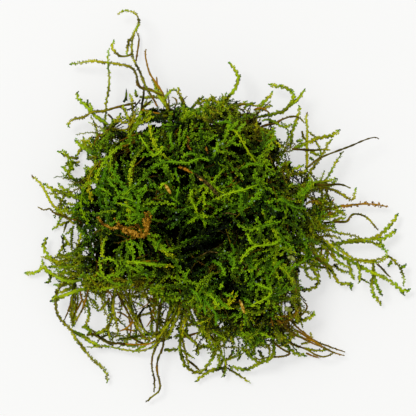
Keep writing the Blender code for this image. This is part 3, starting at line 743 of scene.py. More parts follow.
# Ellipses where the floor or the light below shows through: middle x and y, half width and half height
WINDOWS = rows_of("""
    121.6,127.4,4,1.6 142.6,129.3,3.4,1.2 157,125.5,3,1.3 116,142.7,2,1 104,155,0.8,0.8 79.5,154.5,6.5,5
    77.4,172.4,6,5 88.7,163.7,3,2 127.8,156,2,2.4 70.8,200.6,6,5 69.8,231,6,6 78,238,2.4,4 76,190,3,2
    85.5,251,1.3,2.6 66,214,3,3 93,186,1.2,0.8 66,248,3,3 194,103,7,3.6 173.7,102,4,4 243.8,109.5,4,2
    250,101,6,5 263.7,112.5,5,2.6 263.7,123.6,3.5,2.5 275.5,118,3,3 282.8,135,5.5,4.4 290,121.7,4.4,2.2
    299,131,3,6 296,159,8,7.5 282.4,158,2,1.6 276,165.3,2,1.2 268.6,176.8,1.2,1.4 296.2,180,3,2
    315.3,177.5,3.5,4 309,202.6,3,3 315.4,195.7,5,2.5 325.7,221.5,2.4,2.4 303.9,251.4,1.8,1.4
    293,260,1.6,1.4 307.3,270.5,7,6 311,283,7,6 318,236,2,2 316,250,3,4 289,294,1,1 288,307.5,4,3.4
    292,323.8,2,2 299,329.5,4,3 271,341,3,3 281,349,6.5,3 261.5,351.5,5,4 238,341,3,2.5 228,346,2,3.5
    244,347,2,2 219,323.5,3,2.2 214,337,2,2.4 206.5,353,5,5 197.5,339,5,2 194,328,3,2 194,319,2,1.4
    190,311,1,3 146,291,2.6,1.2 139,299.5,6,2 136.5,309,4,3 150,309,2,2 98,317,7,5 122,328,4,3
    145,320,3.4,2.6 104,327,4,2 167.6,314,3,6 113,292,2.4,2.4 99,300,5,3 84,297,3,2
""")
# Where the mat is mostly thin strands: ellipses on the plan
STRANDS = rows_of("""
    230,326,46,26 314,230,14,32 182,308,26,18 128,116,34,14 292,186,22,26 100,272,26,22 290,300,16,34
    196,104,40,9 74,210,10,60 250,128,40,22
""")
# Hollows of the mat, where few bright shoots grow and painted shade makes the rest near black: middle x and
# y and radius
HOLLOWS = rows_of("""
    178,226,15 206,236,15 228,226,12 190,240,13 161,211,9 200,148,9 164,178,7 229,290,9 254,298,8
    196,180,7 246,238,7 148,196,5 262,262,6 212,256,7 124,272,6 146,270,5 188,262,6 250,216,7 134,222,4
    104,262,6 176,150,4 236,176,5 226,252,7 276,216,5 152,252,8 120,256,6 168,264,6 112,240,5
""")
# Browner and greener, darker and lighter parts of the clump, the darker ones partly painted shade: middle x
# and y, radius, and how far tones and shades are moved
TINTS = rows_of("""
    130,126,34,-0.26,-0.02 96,172,24,-0.16,0.04 96,262,26,-0.10,-0.12 130,286,34,-0.24,-0.10
    306,232,30,0.02,-0.04 296,186,24,-0.12,0.0 250,334,40,0.02,-0.20 292,320,24,-0.28,0.0
    230,118,36,-0.03,-0.12 188,310,28,-0.08,-0.18 205,226,48,0.03,-0.16 262,118,24,-0.12,-0.06
    262,280,30,0.02,-0.08 120,180,40,0.07,-0.02 84,206,38,0.0,-0.08 250,140,36,-0.05,-0.04
""")


@dataclass(frozen=True)
class PlanView:
    """What the photo shows where on the plan: the dense mat, its windows, hollows and tints."""

    leaf_reach: float = 2.0  # how far leaves reach from a shoot's line, on the plan
    overrun: int = 6  # by how many points a shoot may leave the mat
    rooted: int = 3  # a shoot that leaves it by this point goes on all the same
    stopped: float = 0.93  # the share of shoots that stop at a window
    strand_reach: float = 1.6  # how far from its middle, squared, a patch of strands thins out to none
    hollow_reach: float = 1.25  # and a hollow, in its radii
    hollow_rim: float = 0.5  # how wide a hollow's soft rim is, in its radii
    tint_fade: float = 2.0  # how fast a tint fades from its middle

    def in_mat(self, x: Array, y: Array) -> Array:
        """Whether plan points are inside the edge of the dense mat."""
        inside = np.zeros(np.shape(x), bool)
        for start, end in zip(MAT_EDGE, np.roll(MAT_EDGE, -1, axis=0)):
            crosses = (start[1] > y) != (end[1] > y)
            span = end[1] - start[1] if end[1] != start[1] else 1.0
            inside ^= crosses & (x < start[0] + (y - start[1]) / span * (end[0] - start[0]))
        return inside

    def in_window(self, x: Array, y: Array) -> Array:
        """Whether plan points are in a window."""
        inside = np.zeros(np.shape(x), bool)
        for middle_x, middle_y, wide, high in WINDOWS:
            across, along = wide + self.leaf_reach, high + self.leaf_reach
            inside |= ((x - middle_x) / across) ** 2 + ((y - middle_y) / along) ** 2 < 1
        return inside

    def off_edge(self, x: Array, y: Array) -> Array:
        """How far plan points are from the edge of the dense mat."""
        nearest = np.full(np.shape(x), np.inf)
        for start, end in zip(MAT_EDGE, np.roll(MAT_EDGE, -1, axis=0)):
            along = end - start
            share = ((x - start[0]) * along[0] + (y - start[1]) * along[1]) / (along @ along)
            share = np.clip(share, 0, 1)
            away = np.hypot(x - start[0] - share * along[0], y - start[1] - share * along[1])
            nearest = np.minimum(nearest, away)
        return nearest

    def strandy(self, x: float, y: float) -> float:
        """How much of the mat at a plan point is thin strands, from 0 to 1."""
        share = 0.0
        for middle_x, middle_y, wide, high in STRANDS:
            away = ((x - middle_x) / wide) ** 2 + ((y - middle_y) / high) ** 2
            share = max(share, min(1.0, self.strand_reach - away))
        return share

    def hollowness(self, x: Array, y: Array) -> Array:
        """How deep in a hollow plan points are, from 0 to 1."""
        depth = np.zeros(np.shape(x))
        for middle_x, middle_y, radius in HOLLOWS:
            away = np.hypot(x - middle_x, y - middle_y) / radius
            depth = np.maximum(depth, np.clip((self.hollow_reach - away) / self.hollow_rim, 0, 1))
        return depth

    def tint(self, x: float, y: float) -> Pair:
        """How far tones and shades are moved at a plan point."""
        tone, shade = 0.0, 0.0
        for middle_x, middle_y, radius, tone_there, shade_there in TINTS:
            away = ((x - middle_x) ** 2 + (y - middle_y) ** 2) / radius ** 2
            near = math.exp(-self.tint_fade * away)
            tone += tone_there * near
            shade += shade_there * near
        return tone, shade

    def trimmed(self, line: Array, chance: Chance, least: int, inset: float = 0.0) -> int:
        """How many of a line's points are left before it leaves the mat or enters a window.

        Args:
            line: The line's points.
            chance: The source of how far it overruns.
            least: The fewest points that make a shoot.
            inset: How far it keeps off the mat's edge, on the plan.

        Returns:
            The count, 0 if the line isn't to grow at all.
        """
        x, y = PLAN.seen(line)
        out = ~self.in_mat(x, y)
        if inset:
            out |= self.off_edge(x, y) < inset
        gone = np.flatnonzero(out)
        if len(gone) > len(line) // 2:
            return 0
        end = len(line)
        if len(gone) and gone[0] > self.rooted:
            end = gone[0] + chance.integers(0, self.overrun)
        window = np.flatnonzero(self.in_window(x[:end], y[:end]))
        if len(window) and chance.random() < self.stopped:
            end = min(end, window[0])
        end = min(end, len(line))
        return end if end >= least else 0


VIEW = PlanView()


@dataclass(frozen=True)
class Layer:
    """One depth of the mat's tangle. A pair of values is for root and tip, or the least and the most."""

    name: str
    count: int
    kinds: tuple[Kind, ...]
    lengths: Pair
    root_lift: Pair  # above the form
    tip_lift: Pair
    arch: float  # how high a shoot arches between, at most
    side_shoots: float  # the mean number
    # Deeper layers and the roots of shoots are darker: partly the old moss's own colour, partly painted
    # shade
    shade: Pair
    off_hollows: float = 0.0  # the share of shoots that keep off the hollows
    inset: float = 0.0  # how far they keep off the mat's edge, on the plan
    strands: tuple[Kind, ...] = ()  # the kinds where the mat is thin strands
    sectors: bool = False  # one piece for each quarter
    deep: bool = False  # whether it has the finish of old moss in the shade
    stem_sides: int = 3
    stem_step: float = 1.5 * MM
    size: Pair = (0.85, 1.1)
    coarse: float = 1.0  # how far apart the leaves are, beside the look's own spacing


THIN = (Kind.FINE, Kind.FINE, Kind.MAT, Kind.TWIG, Kind.STALK)
LAYERS = (
    Layer("moss_bed_stems", 1250, (Kind.BED_STEM,),
          mm(16, 32), mm(-18, -9), mm(-16, -8), 0.0, 0.0, (0.0, 0.0),
          deep=True, inset=7.0, stem_step=3.0 * MM),
    Layer("moss_old_shoots", 260, (Kind.OLD,),
          mm(10, 20), mm(-16, -8), mm(-14, -6), 1.0 * MM, 0.0, (-0.30, -0.24),
          deep=True, stem_step=3.0 * MM),
    Layer("moss_thatch", 560, (Kind.STALK, Kind.BROWN, Kind.STALK, Kind.TWIG),
          mm(12, 26), mm(-13, -5), mm(-11, -3), 2.0 * MM, 0.0, (-0.46, -0.38),
          deep=True, stem_step=2.4 * MM, coarse=1.7),
    Layer("moss_under_shoots", 700, (Kind.DARK, Kind.DARK, Kind.GREEN, Kind.STALK),
          mm(9, 18), mm(-7, -3.5), mm(-4.5, -1.5), 1.0 * MM, 0.4, (-0.34, -0.22),
          deep=True, stem_step=2.0 * MM, size=(0.75, 1.0), coarse=1.1),
    Layer("moss_upper_shoots", 1400, (Kind.GREEN, Kind.GREEN, Kind.DARK, Kind.MAT, Kind.BROWN),
          mm(9, 18), mm(-4.0, -1.5), mm(-1.5, 0.8), 1.0 * MM, 0.5, (-0.34, -0.10),
          off_hollows=0.6, strands=THIN, sectors=True, size=(0.78, 1.02)),
    Layer("moss_top_shoots", 380, (Kind.GREEN, Kind.GREEN, Kind.GREEN, Kind.LIME),
          mm(11, 20), mm(-2.0, -0.5), mm(0.3, 2.2), 1.5 * MM, 1.2, (-0.16, 0.07),
          off_hollows=0.75, strands=THIN, stem_sides=4, size=(0.9, 1.15)),
)


@dataclass(frozen=True)
class Zone:
    """A stretch of the rim with thin strands: an ellipse on the plan, and where they mostly head."""

    x: float
    y: float
    wide: float
    high: float
    heading: float = 0  # in degrees from the right, turning up
    count: int = 0
    kinds: tuple[Kind, ...] = (Kind.FINE, Kind.STRAY, Kind.OLIVE, Kind.TWIG)

    def spot(self, chance: Chance) -> Pair:
        """A place in the ellipse, picked evenly by area."""
        away, round_it = math.sqrt(chance.random()), chance.uniform(0, 2 * math.pi)
        across, along = self.wide * away * math.cos(round_it), self.high * away * math.sin(round_it)
        return self.x + across, self.y + along


LEAFY = (Kind.EDGE, Kind.STRAY, Kind.OLIVE, Kind.FINE)
WOODY = (Kind.FINE, Kind.TWIG, Kind.STALK, Kind.BROWN)
LATTICE = (Kind.FINE, Kind.STRAY, Kind.OLIVE, Kind.DUSKY, Kind.ORANGE)
MIXED = (Kind.FINE, Kind.FINE, Kind.OLIVE, Kind.STALK, Kind.BROWN)
ZONES = (
    Zone(122, 296, 46, 10, -65, 40, LATTICE), Zone(128, 322, 42, 15, -50, 40, LATTICE),
    Zone(166, 308, 14, 20, -75, 26, WOODY), Zone(226, 340, 42, 13, -70, 54),
    Zone(285, 336, 18, 12, -20, 18, WOODY), Zone(291, 300, 9, 26, -20, 24, MIXED),
    Zone(306, 256, 22, 14, -30, 34, LEAFY), Zone(316, 208, 14, 28, 10, 44, LEAFY),
    Zone(222, 314, 48, 18, -75, 44), Zone(280, 166, 14, 14, 20, 18, MIXED),
    Zone(290, 148, 13, 18, 30, 18, MIXED), Zone(258, 114, 20, 7, 45, 13),
    Zone(160, 108, 30, 7, 100, 12, MIXED), Zone(138, 288, 16, 6, -40, 16, MIXED),
    Zone(125, 144, 9, 8, 60, 14, MIXED), Zone(94, 138, 13, 14, 140, 9, LEAFY),
    Zone(74, 170, 10, 20, 170, 15, LEAFY), Zone(70, 210, 9, 22, 180, 18, LEAFY),
    Zone(70, 262, 12, 22, 190, 24, LEAFY),
)
SECTORS = ("north_east", "north_west", "south_west", "south_east")


@dataclass(frozen=True)
class SideShoots:
    """The short shoots that leave a shoot of the mat to a side."""

    angles: Pair = (0.6, 1.05)  # from the shoot that carries one, in radians
    lengths: Pair = mm(2.4, 5.5)
    bend: float = 0.18  # how far one bends back, as a share of its length
    rise: Pair = (-0.05, 0.25)  # and how far it rises
    least: int = 4  # the fewest points that one has
    size: float = 0.92  # beside the shoot that carries it
    light: float = 0.05  # how much lighter it is

    def line(self, parent: Array, at: int, chance: Chance) -> Array:
        """The line of a side shoot.

        Args:
            parent: The line of the shoot that carries it.
            at: The point of that line where it starts.
            chance: The source of its irregularities.

        Returns:
            The line's points.
        """
        tangent = tangents_of(parent)[at]
        side, up = sides_of(tangent[None])
        hand = 1 if chance.random() < 0.5 else -1
        turn = chance.uniform(*self.angles)
        ahead = tangent * math.cos(turn) + side[0] * hand * math.sin(turn)
        length = chance.uniform(*self.lengths)
        t = np.linspace(0, 1, 5)[:, None]
        bend = side[0] * -hand * self.bend * length
        rise = up[0] * chance.uniform(*self.rise) * length
        return smooth_line(parent[at] + ahead * length * t + bend * t ** 2 + rise * t ** 1.5, LINE_STEP)


@dataclass(frozen=True)
class RimTips:
    """Short tips that stand out all round the mat's rim."""

    count: int = 420
    kinds: tuple[Kind, ...] = (Kind.LIME, Kind.EDGE, Kind.GREEN, Kind.OLIVE)
    facing_up: Pair = (-0.3, 0.55)  # where the form is steep
    above: float = 1.5 * MM
    spread: float = 0.65  # how far they head off straight out, in radians
    slopes: Pair = (-0.25, 0.35)
    lengths: Pair = mm(5, 8.5)
    sunk: float = 3.5 * MM  # how much of one is in the mat
    bend: float = 0.9 * MM
    sag: float = 1.4 * MM  # at most
    lowest: float = 0.8 * MM
    least: int = 6  # the fewest points that one has
    shade: float = -0.05
    noise: Pair = (0.03, 0.06)  # how much tone and shade differ
    sizes: Pair = (0.75, 1.0)

    def grow(self, form: MossForm, piece: Foliage) -> None:
        """Grows the tips.

        Args:
            form: The mat's form.
            piece: The piece that they belong to.
        """
        chance = piece.chance
        t = np.linspace(0, 1, 6)[:, None]
        for start in form.starts(self.count, chance, self.facing_up, self.above):
            out = math.atan2(start[1], start[0]) + chance.normal(0, self.spread)
            ahead = np.array((math.cos(out), math.sin(out), chance.uniform(*self.slopes)))
            side = np.array((-math.sin(out), math.cos(out), 0.0))
            line = start - ahead * self.sunk + ahead * chance.uniform(*self.lengths) * t
            line = line + side * chance.normal(0, self.bend) * t ** 2
            line = line - UP * chance.uniform(0, self.sag) * t ** 2
            line[:, 2] = np.maximum(line[:, 2], self.lowest)
            line = smooth_line(line, LINE_STEP)
            line = line[:VIEW.trimmed(line, chance, self.least)]
            if len(line):
                tone, shade = form.local_look(line)
                look = pick(self.kinds, chance)
                tone = tone + chance.normal(0, self.noise[0])
                shade = shade + chance.normal(0, self.noise[1]) + self.shade
                piece.shoot(line, look, tone, shade, chance.uniform(*self.sizes))


@dataclass(frozen=True)
class RimStrands:
    """Thin strands that cross each other in the zones of the rim."""

    lengths: Pair = mm(5, 13)
    steps: int = 9
    bow: float = 1.9  # how far one turns from end to end, in radians
    winding: float = 0.16  # and how unevenly
    spread: float = 0.75  # how far it heads off the zone's heading
    roots: Pair = mm(2.5, 6)  # how high one starts where the form is low
    highest: float = 13 * MM
    root_sink: float = 1.5 * MM  # under the form
    drops: Pair = (0.2, 0.6)  # how much lower its tip is, as a share of its root's height
    sink: float = 0.8 * MM  # under the form, along it
    climb: float = 2 * MM  # how far it follows the form up
    lowest: float = 0.9 * MM
    over_window: float = 0.28  # the most of one that may be over a window
    tint: Pair = (0.4, 0.8)  # how much of the clump's local tone and shade it takes
    tone_noise: float = 0.04
    shades: Pair = (-0.03, 0.12)  # their mean and how much they differ
    sizes: Pair = (0.8, 1.1)

    def grow(self, form: MossForm, piece: Foliage) -> None:
        """Grows the strands of every zone.

        Args:
            form: The mat's form.
            piece: The piece that they belong to.
        """
        chance = piece.chance
        t = np.linspace(0, 1, self.steps)
        for zone in [zone for zone in ZONES for _ in range(zone.count)]:
            spot = zone.spot(chance)
            length = chance.uniform(*self.lengths) / PLAN.step
            turn = chance.normal(0, self.bow) * (t - 0.5) + chance.normal(0, self.winding, self.steps)
            heading = math.radians(zone.heading) + chance.normal(0, self.spread) + turn
            ahead = np.stack((np.cos(heading), -np.sin(heading)), axis=1)
            along = np.cumsum(ahead, axis=0) * length / self.steps
            flat = np.array(spot) + along - along[self.steps // 2]
            tops = form.tops(PLAN.line(flat, RIM_HEIGHT))
            root = min(max(tops[0] - self.root_sink, chance.uniform(*self.roots)), self.highest)
            heights = root * (1 - chance.uniform(*self.drops) * t)
            heights = np.maximum(heights, np.minimum(tops - self.sink, root + self.climb))
            heights = evened(np.maximum(heights, self.lowest), 3)
            if VIEW.in_window(flat[:, 0], flat[:, 1]).mean() > self.over_window:
                continue
            look = pick(zone.kinds, chance)
            tone, shade = VIEW.tint(*spot)
            piece.shoot(
                smooth_line(PLAN.line(flat, heights), LINE_STEP), look,
                self.tint[0] * tone + chance.normal(0, self.tone_noise),
                self.tint[1] * shade + chance.normal(*self.shades), chance.uniform(*self.sizes),
            )


@dataclass(frozen=True)
class Bed:
    """The thick old stems that close the mat's middle from below, dark both as old stems and as painted
    shade in its depth.
    """

    place: Zone = Zone(206, 228, 66, 60)
    count: int = 520
    length: float = 42.0  # on the plan
    bow: float = 3.0
    heights: Pair = mm(2, 7)
    tone: float = 0.1  # and how much it differs
    shade_noise: float = 0.06

    def lay(self, piece: Foliage) -> None:
        """Lays the stems.

        Args:
            piece: The piece that they belong to.
        """
        chance = piece.chance
        t = np.linspace(-0.5, 0.5, 7)
        for _ in range(self.count):
            middle_x, middle_y = self.place.spot(chance)
            heading = chance.uniform(0, math.pi)
            x = middle_x + t * self.length * math.cos(heading)
            y = middle_y + t * self.length * math.sin(heading)
            bow = chance.normal(0, self.bow) * (1 - 4 * t ** 2)
            height = chance.uniform(*self.heights)
            line = PLAN.place(x - bow * math.sin(heading), y + bow * math.cos(heading), height)
            piece.shoot(line, Kind.BED_STEM.value, chance.normal(self.tone, self.tone),
                        chance.normal(0, self.shade_noise))


@dataclass
class Tangle:
    """The mat: shoots that creep over its form in layers, and thin strands and short tips at its rim."""

    form: MossForm
    finishes: Finishes
    side_shoots: SideShoots = SideShoots()
    seed: int = 11
    tips_seed: int = 18
    strands_seed: int = 19
    creep_step: float = 1.5 * MM
    winding: float = 0.10  # how much a shoot turns, for all of it and at each step, in radians
    rim_radius: float = 36 * MM
    outward: float = 0.62  # how much the shoots at the rim head outwards
    downward: float = 0.4  # and down
    depth_painted_shade: float = 0.085 / MM  # painted shade: how much darker a shoot is for each metre of depth
    unlike: Pair = (0.045, 0.12)  # how much the tones and shades of neighbours differ
    facing_up: Pair = (-0.2, 1.0)  # where on the form the shoots start
    above: float = 0.5 * MM
    least: int = 6  # the fewest points that make a shoot
    hollow_lift: float = 0.5  # how much nearer to the form the shoots of a hollow are
    in_hollow: float = 0.3  # how deep in a hollow a shoot is that may be left out

    def first_heading(self, place: Array, chance: Chance) -> Array:
        """A shoot's first direction: any in the middle, and mostly outwards at the rim."""
        rim = min(1.0, float(np.hypot(place[0], place[1])) / self.rim_radius)
        turn = chance.uniform(-math.pi, math.pi) * (1 - self.outward * rim ** 3)
        out = math.atan2(place[1], place[0]) + turn
        return np.array((math.cos(out), math.sin(out), -self.downward * rim))

    def creep(self, layer: Layer, start: Array, chance: Chance) -> tuple[Array, Array]:
        """The line of a layer's shoot from a place on the form.

        Args:
            layer: The layer.
            start: The place.
            chance: The source of its irregularities.

        Returns:
            The line's points, and how far above the form each is.
        """
        length = chance.uniform(*layer.lengths)
        steps = max(4, round(length / self.creep_step))
        along = np.linspace(0, 1, steps)
        low, high = chance.uniform(*layer.root_lift), chance.uniform(*layer.tip_lift)
        lifts = low + (high - low) * along ** 0.8
        lifts += layer.arch * chance.uniform(0, 1) * np.sin(along * math.pi)
        lifts *= 1 - self.hollow_lift * float(VIEW.hollowness(*PLAN.seen(start[None]))[0])
        turns = chance.normal(0, self.winding) + chance.normal(0, self.winding, steps)
        heading = self.first_heading(start, chance)
        return self.form.creep(start, heading, lifts, turns, self.creep_step)

    def grow(self, layer: Layer, pieces: list[Foliage]) -> None:
        """Grows a layer's shoots.

        Args:
            layer: The layer.
            pieces: The piece of each sector, or one piece.
        """
        chance = pieces[0].chance
        for start in self.form.starts(layer.count, chance, self.facing_up, self.above):
            line, lift = self.creep(layer, start, chance)
            end = VIEW.trimmed(line, chance, self.least, layer.inset)
            if not end:
                continue
            line, lift = line[:end], lift[:end]
            x, y = PLAN.seen(line)
            hollow = float(VIEW.hollowness(x, y).mean())
            if hollow > self.in_hollow and chance.random() < layer.off_hollows:
                continue
            look = pick(layer.kinds, chance)
            if layer.strands and chance.random() < VIEW.strandy(float(x[0]), float(y[0])):
                look = pick(layer.strands, chance)
            tone, shade = self.form.local_look(line)
            tone += chance.normal(0, self.unlike[0])
            share = np.linspace(0, 1, len(line))
            # Darker towards the root, which lies deeper: painted shade
            shade = shade + layer.shade[0] + (layer.shade[1] - layer.shade[0]) * share
            shade = shade + chance.normal(0, self.unlike[1]) + self.depth_painted_shade * np.minimum(lift, 0)
            piece = pieces[int(math.atan2(start[1], start[0]) // (math.pi / 2)) % 4 % len(pieces)]
            size = chance.uniform(*layer.size)
            piece.shoot(line, look, tone, shade, size)
            first = len(line) // 4
            for _ in range(chance.poisson(layer.side_shoots)):
                at = chance.integers(first, max(first + 1, len(line) * 4 // 5))
                branch = self.side_shoots.line(line, at, chance)
                end = VIEW.trimmed(branch, chance, self.side_shoots.least)
                if end:
                    piece.shoot(branch[:end], look, tone, shade[at] + self.side_shoots.light,
                                size * self.side_shoots.size)

    def build(self) -> None:
        """Makes the mat's pieces in place of its solid."""
        made = []
        for i, layer in enumerate(LAYERS):
            chance = np.random.default_rng(self.seed + i)
            names = [f"{layer.name}_{sector}" for sector in SECTORS] if layer.sectors else [layer.name]
            pieces = [
                Foliage(name, CROWD_LEAF, chance, layer.stem_sides, layer.stem_step, coarse=layer.coarse)
                for name in names
            ]
            self.grow(layer, pieces)
            if i == 0:
                Bed().lay(pieces[0])
            made += [(foliage, layer.deep) for foliage in pieces]
        strands = Foliage("moss_rim_strands", CROWD_LEAF, np.random.default_rng(self.strands_seed))
        RimStrands().grow(self.form, strands)
        tips = Foliage("moss_rim_tips", CROWD_LEAF, np.random.default_rng(self.tips_seed))
        RimTips().grow(self.form, tips)
        made += [(strands, False), (tips, False)]
        for i, (foliage, deep) in enumerate(made):
            finish, stem_finish = ("deep_moss", "deep_moss") if deep else ("moss_leaf", "moss_stem")
            piece = foliage.piece(self.finishes[finish], self.finishes[stem_finish])
            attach(piece, BODY)
            if i == 0:
                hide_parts(self.form.node)


@dataclass(frozen=True)
class Colours:
    """A finish's colours: its tones side by side, and how light they are at each shade."""

    tones: tuple[tuple[float, str], ...]
    shades: tuple[tuple[float, str], ...]


def linear(code: str) -> tuple[float, float, float, float]:
    """The linear colour of an sRGB hex value."""
    parts = [int(code[i:i + 2], 16) / 255 for i in (1, 3, 5)]
    return (*[c / 12.92 if c <= 0.04045 else ((c + 0.055) / 1.055) ** 2.4 for c in parts], 1.0)


def add_node(tree: bpy.types.NodeTree, kind: str, settings: dict | None = None,
             links: dict | None = None) -> bpy.types.Node:
    """Adds a node.

    Args:
        tree: The material's nodes.
        kind: The type of node, without ShaderNode.
        settings: Its properties by name, its inputs' values by name or number, and a ramp's stops.
        links: For each input, the socket that leads to it.

    Returns:
        The node.
    """
    node = tree.nodes.new("ShaderNode" + kind)
    for name, value in (settings or {}).items():
        if name == "stops":
            ramp = node.color_ramp
            while len(ramp.elements) < len(value):
                ramp.elements.new(0.5)
            for element, (place, code) in zip(ramp.elements, value):
                element.position = place
                element.color = linear(code)
        elif isinstance(name, int) or name in node.inputs:
            node.inputs[name].default_value = value
        else:
            setattr(node, name, value)
    for name, socket in (links or {}).items():
        tree.links.new(socket, node.inputs[name])
    return node


def new_material(name: str) -> tuple[bpy.types.Material, bpy.types.NodeTree]:
    """A material with no nodes yet."""
    made = bpy.data.materials.new(name)
    made.use_nodes = True
    made.node_tree.nodes.clear()
    return made, made.node_tree


@dataclass(frozen=True)
class MossFinish:
    """Living moss, damp: thin green blades that give a soft satin light where they are wet.

    The colours are looked up by the tone and the shade that each face keeps in its own map, so each leaf is
    dark at its foot and light at its tip, as painted shade and light, and the mat goes from near black in
    its depth, as painted shade, to lime at its rim.
    """

    name: str
    colours: Colours
    roughness: Pair  # of the darkest and the lightest shade
    specular: float  # 0.5 is the plain reflection of a leaf, less where others shade it
    mottle: float = 55.0  # patches over the whole of the colours, a few to each leaf
    uneven: float = 0.16  # how much lighter and darker they are

    def build(self) -> bpy.types.Material:
        """Makes the material."""
        made, tree = new_material(self.name)
        uv = add_node(tree, "UVMap", {"uv_map": COLOUR_MAP})
        place = add_node(tree, "SeparateXYZ", links={0: uv.outputs[0]})
        tone = add_node(tree, "ValToRGB", {"stops": self.colours.tones}, {0: place.outputs["X"]})
        shade = add_node(tree, "ValToRGB", {"stops": self.colours.shades}, {0: place.outputs["Y"]})
        colour = add_node(
            tree, "Mix", {"data_type": "RGBA", "blend_type": "MULTIPLY", "Factor": 1.0},
            {6: tone.outputs["Color"], 7: shade.outputs["Color"]},
        )
        mottle = add_node(tree, "TexNoise", {"Scale": self.mottle, "Detail": 2.0}, {0: uv.outputs[0]})
        value = add_node(
            tree, "MapRange",
            {"From Min": 0.3, "From Max": 0.7, "To Min": 1 - self.uneven, "To Max": 1 + self.uneven},
            {"Value": mottle.outputs["Fac"]},
        )
        looks = {"Value": value.outputs[0], "Color": colour.outputs[2]}
        varied = add_node(tree, "HueSaturation", links=looks)
        rough = add_node(
            tree, "MapRange", {"To Min": self.roughness[0], "To Max": self.roughness[1]},
            {"Value": place.outputs["Y"]},
        )
        shader = add_node(
            tree, "BsdfPrincipled", {"Specular IOR Level": self.specular},
            {"Base Color": varied.outputs[0], "Roughness": rough.outputs[0]},
        )
        add_node(tree, "OutputMaterial", {}, {"Surface": shader.outputs[0]})
        return made


# The tones from 0.96 on are the pale colour of a painted glint, not a leaf's own
MOSS_COLOURS = Colours(
    tones=(
        (0.00, "#B07C10"), (0.10, "#A4780A"), (0.20, "#7C6606"), (0.30, "#8A8206"), (0.40, "#C2BE08"),
        (0.50, "#AEC208"), (0.62, "#8CB606"), (0.74, "#6CA006"), (0.86, "#4C8008"), (0.93, "#3C6C10"),
        (0.96, "#A8C89C"), (1.00, "#A8C89C"),
    ),
    shades=((0.0, "#0E0E0E"), (0.25, "#444444"), (0.55, "#989898"), (0.85, "#E8E8E8"), (1.0, "#FFFFFF")),
)


@dataclass(frozen=True)
class DryFinish:
    """Dry plant stuff: matt straw browns that catch the eye in the green, blotched, with fine fibres."""

    name: str
    dark: str
    light: str
    pale: str  # its palest blotches, a painted highlight
    grain: float  # between fibres
    roughness: float = 0.75
    specular: float = 0.05
    relief: float = 0.05 * MM  # of its fibres

    def build(self) -> bpy.types.Material:
        """Makes the material."""
        made, tree = new_material(self.name)
        place = add_node(tree, "TexCoord")
        patches = add_node(
            tree, "TexNoise", {"Scale": 1 / (3 * self.grain), "Detail": 4.0},
            {"Vector": place.outputs["Object"]},
        )
        colour = add_node(
            tree, "ValToRGB", {"stops": ((0.38, self.dark), (0.54, self.light), (0.72, self.pale))},
            {0: patches.outputs["Fac"]},
        )
        fibre = add_node(
            tree, "TexNoise", {"Scale": 1 / self.grain, "Detail": 3.0},
            {"Vector": place.outputs["Object"]},
        )
        bump = add_node(
            tree, "Bump", {"Strength": 0.5, "Distance": self.relief}, {"Height": fibre.outputs["Fac"]}
        )
        shader = add_node(
            tree, "BsdfPrincipled", {"Roughness": self.roughness, "Specular IOR Level": self.specular},
            {"Base Color": colour.outputs["Color"], "Normal": bump.outputs[0]},
        )
        add_node(tree, "OutputMaterial", {}, {"Surface": shader.outputs[0]})
        return made


@dataclass(frozen=True)
class FloorFinish:
    """White opal plastic lit a little from below, so that what lies on it casts almost no shadow."""

    name: str = "opal_floor"
    colour: str = "#A8A8A6"
    glow: float = 0.55
    roughness: float = 0.9
    specular: float = 0.1

    def build(self) -> bpy.types.Material:
        """Makes the material."""
        made, tree = new_material(self.name)
        shader = add_node(
            tree, "BsdfPrincipled",
            {"Base Color": linear(self.colour), "Roughness": self.roughness,
             "Specular IOR Level": self.specular, "Emission Color": linear("#FFFFFF"),
             "Emission Strength": self.glow},
        )
        add_node(tree, "OutputMaterial", {}, {"Surface": shader.outputs[0]})
        return made


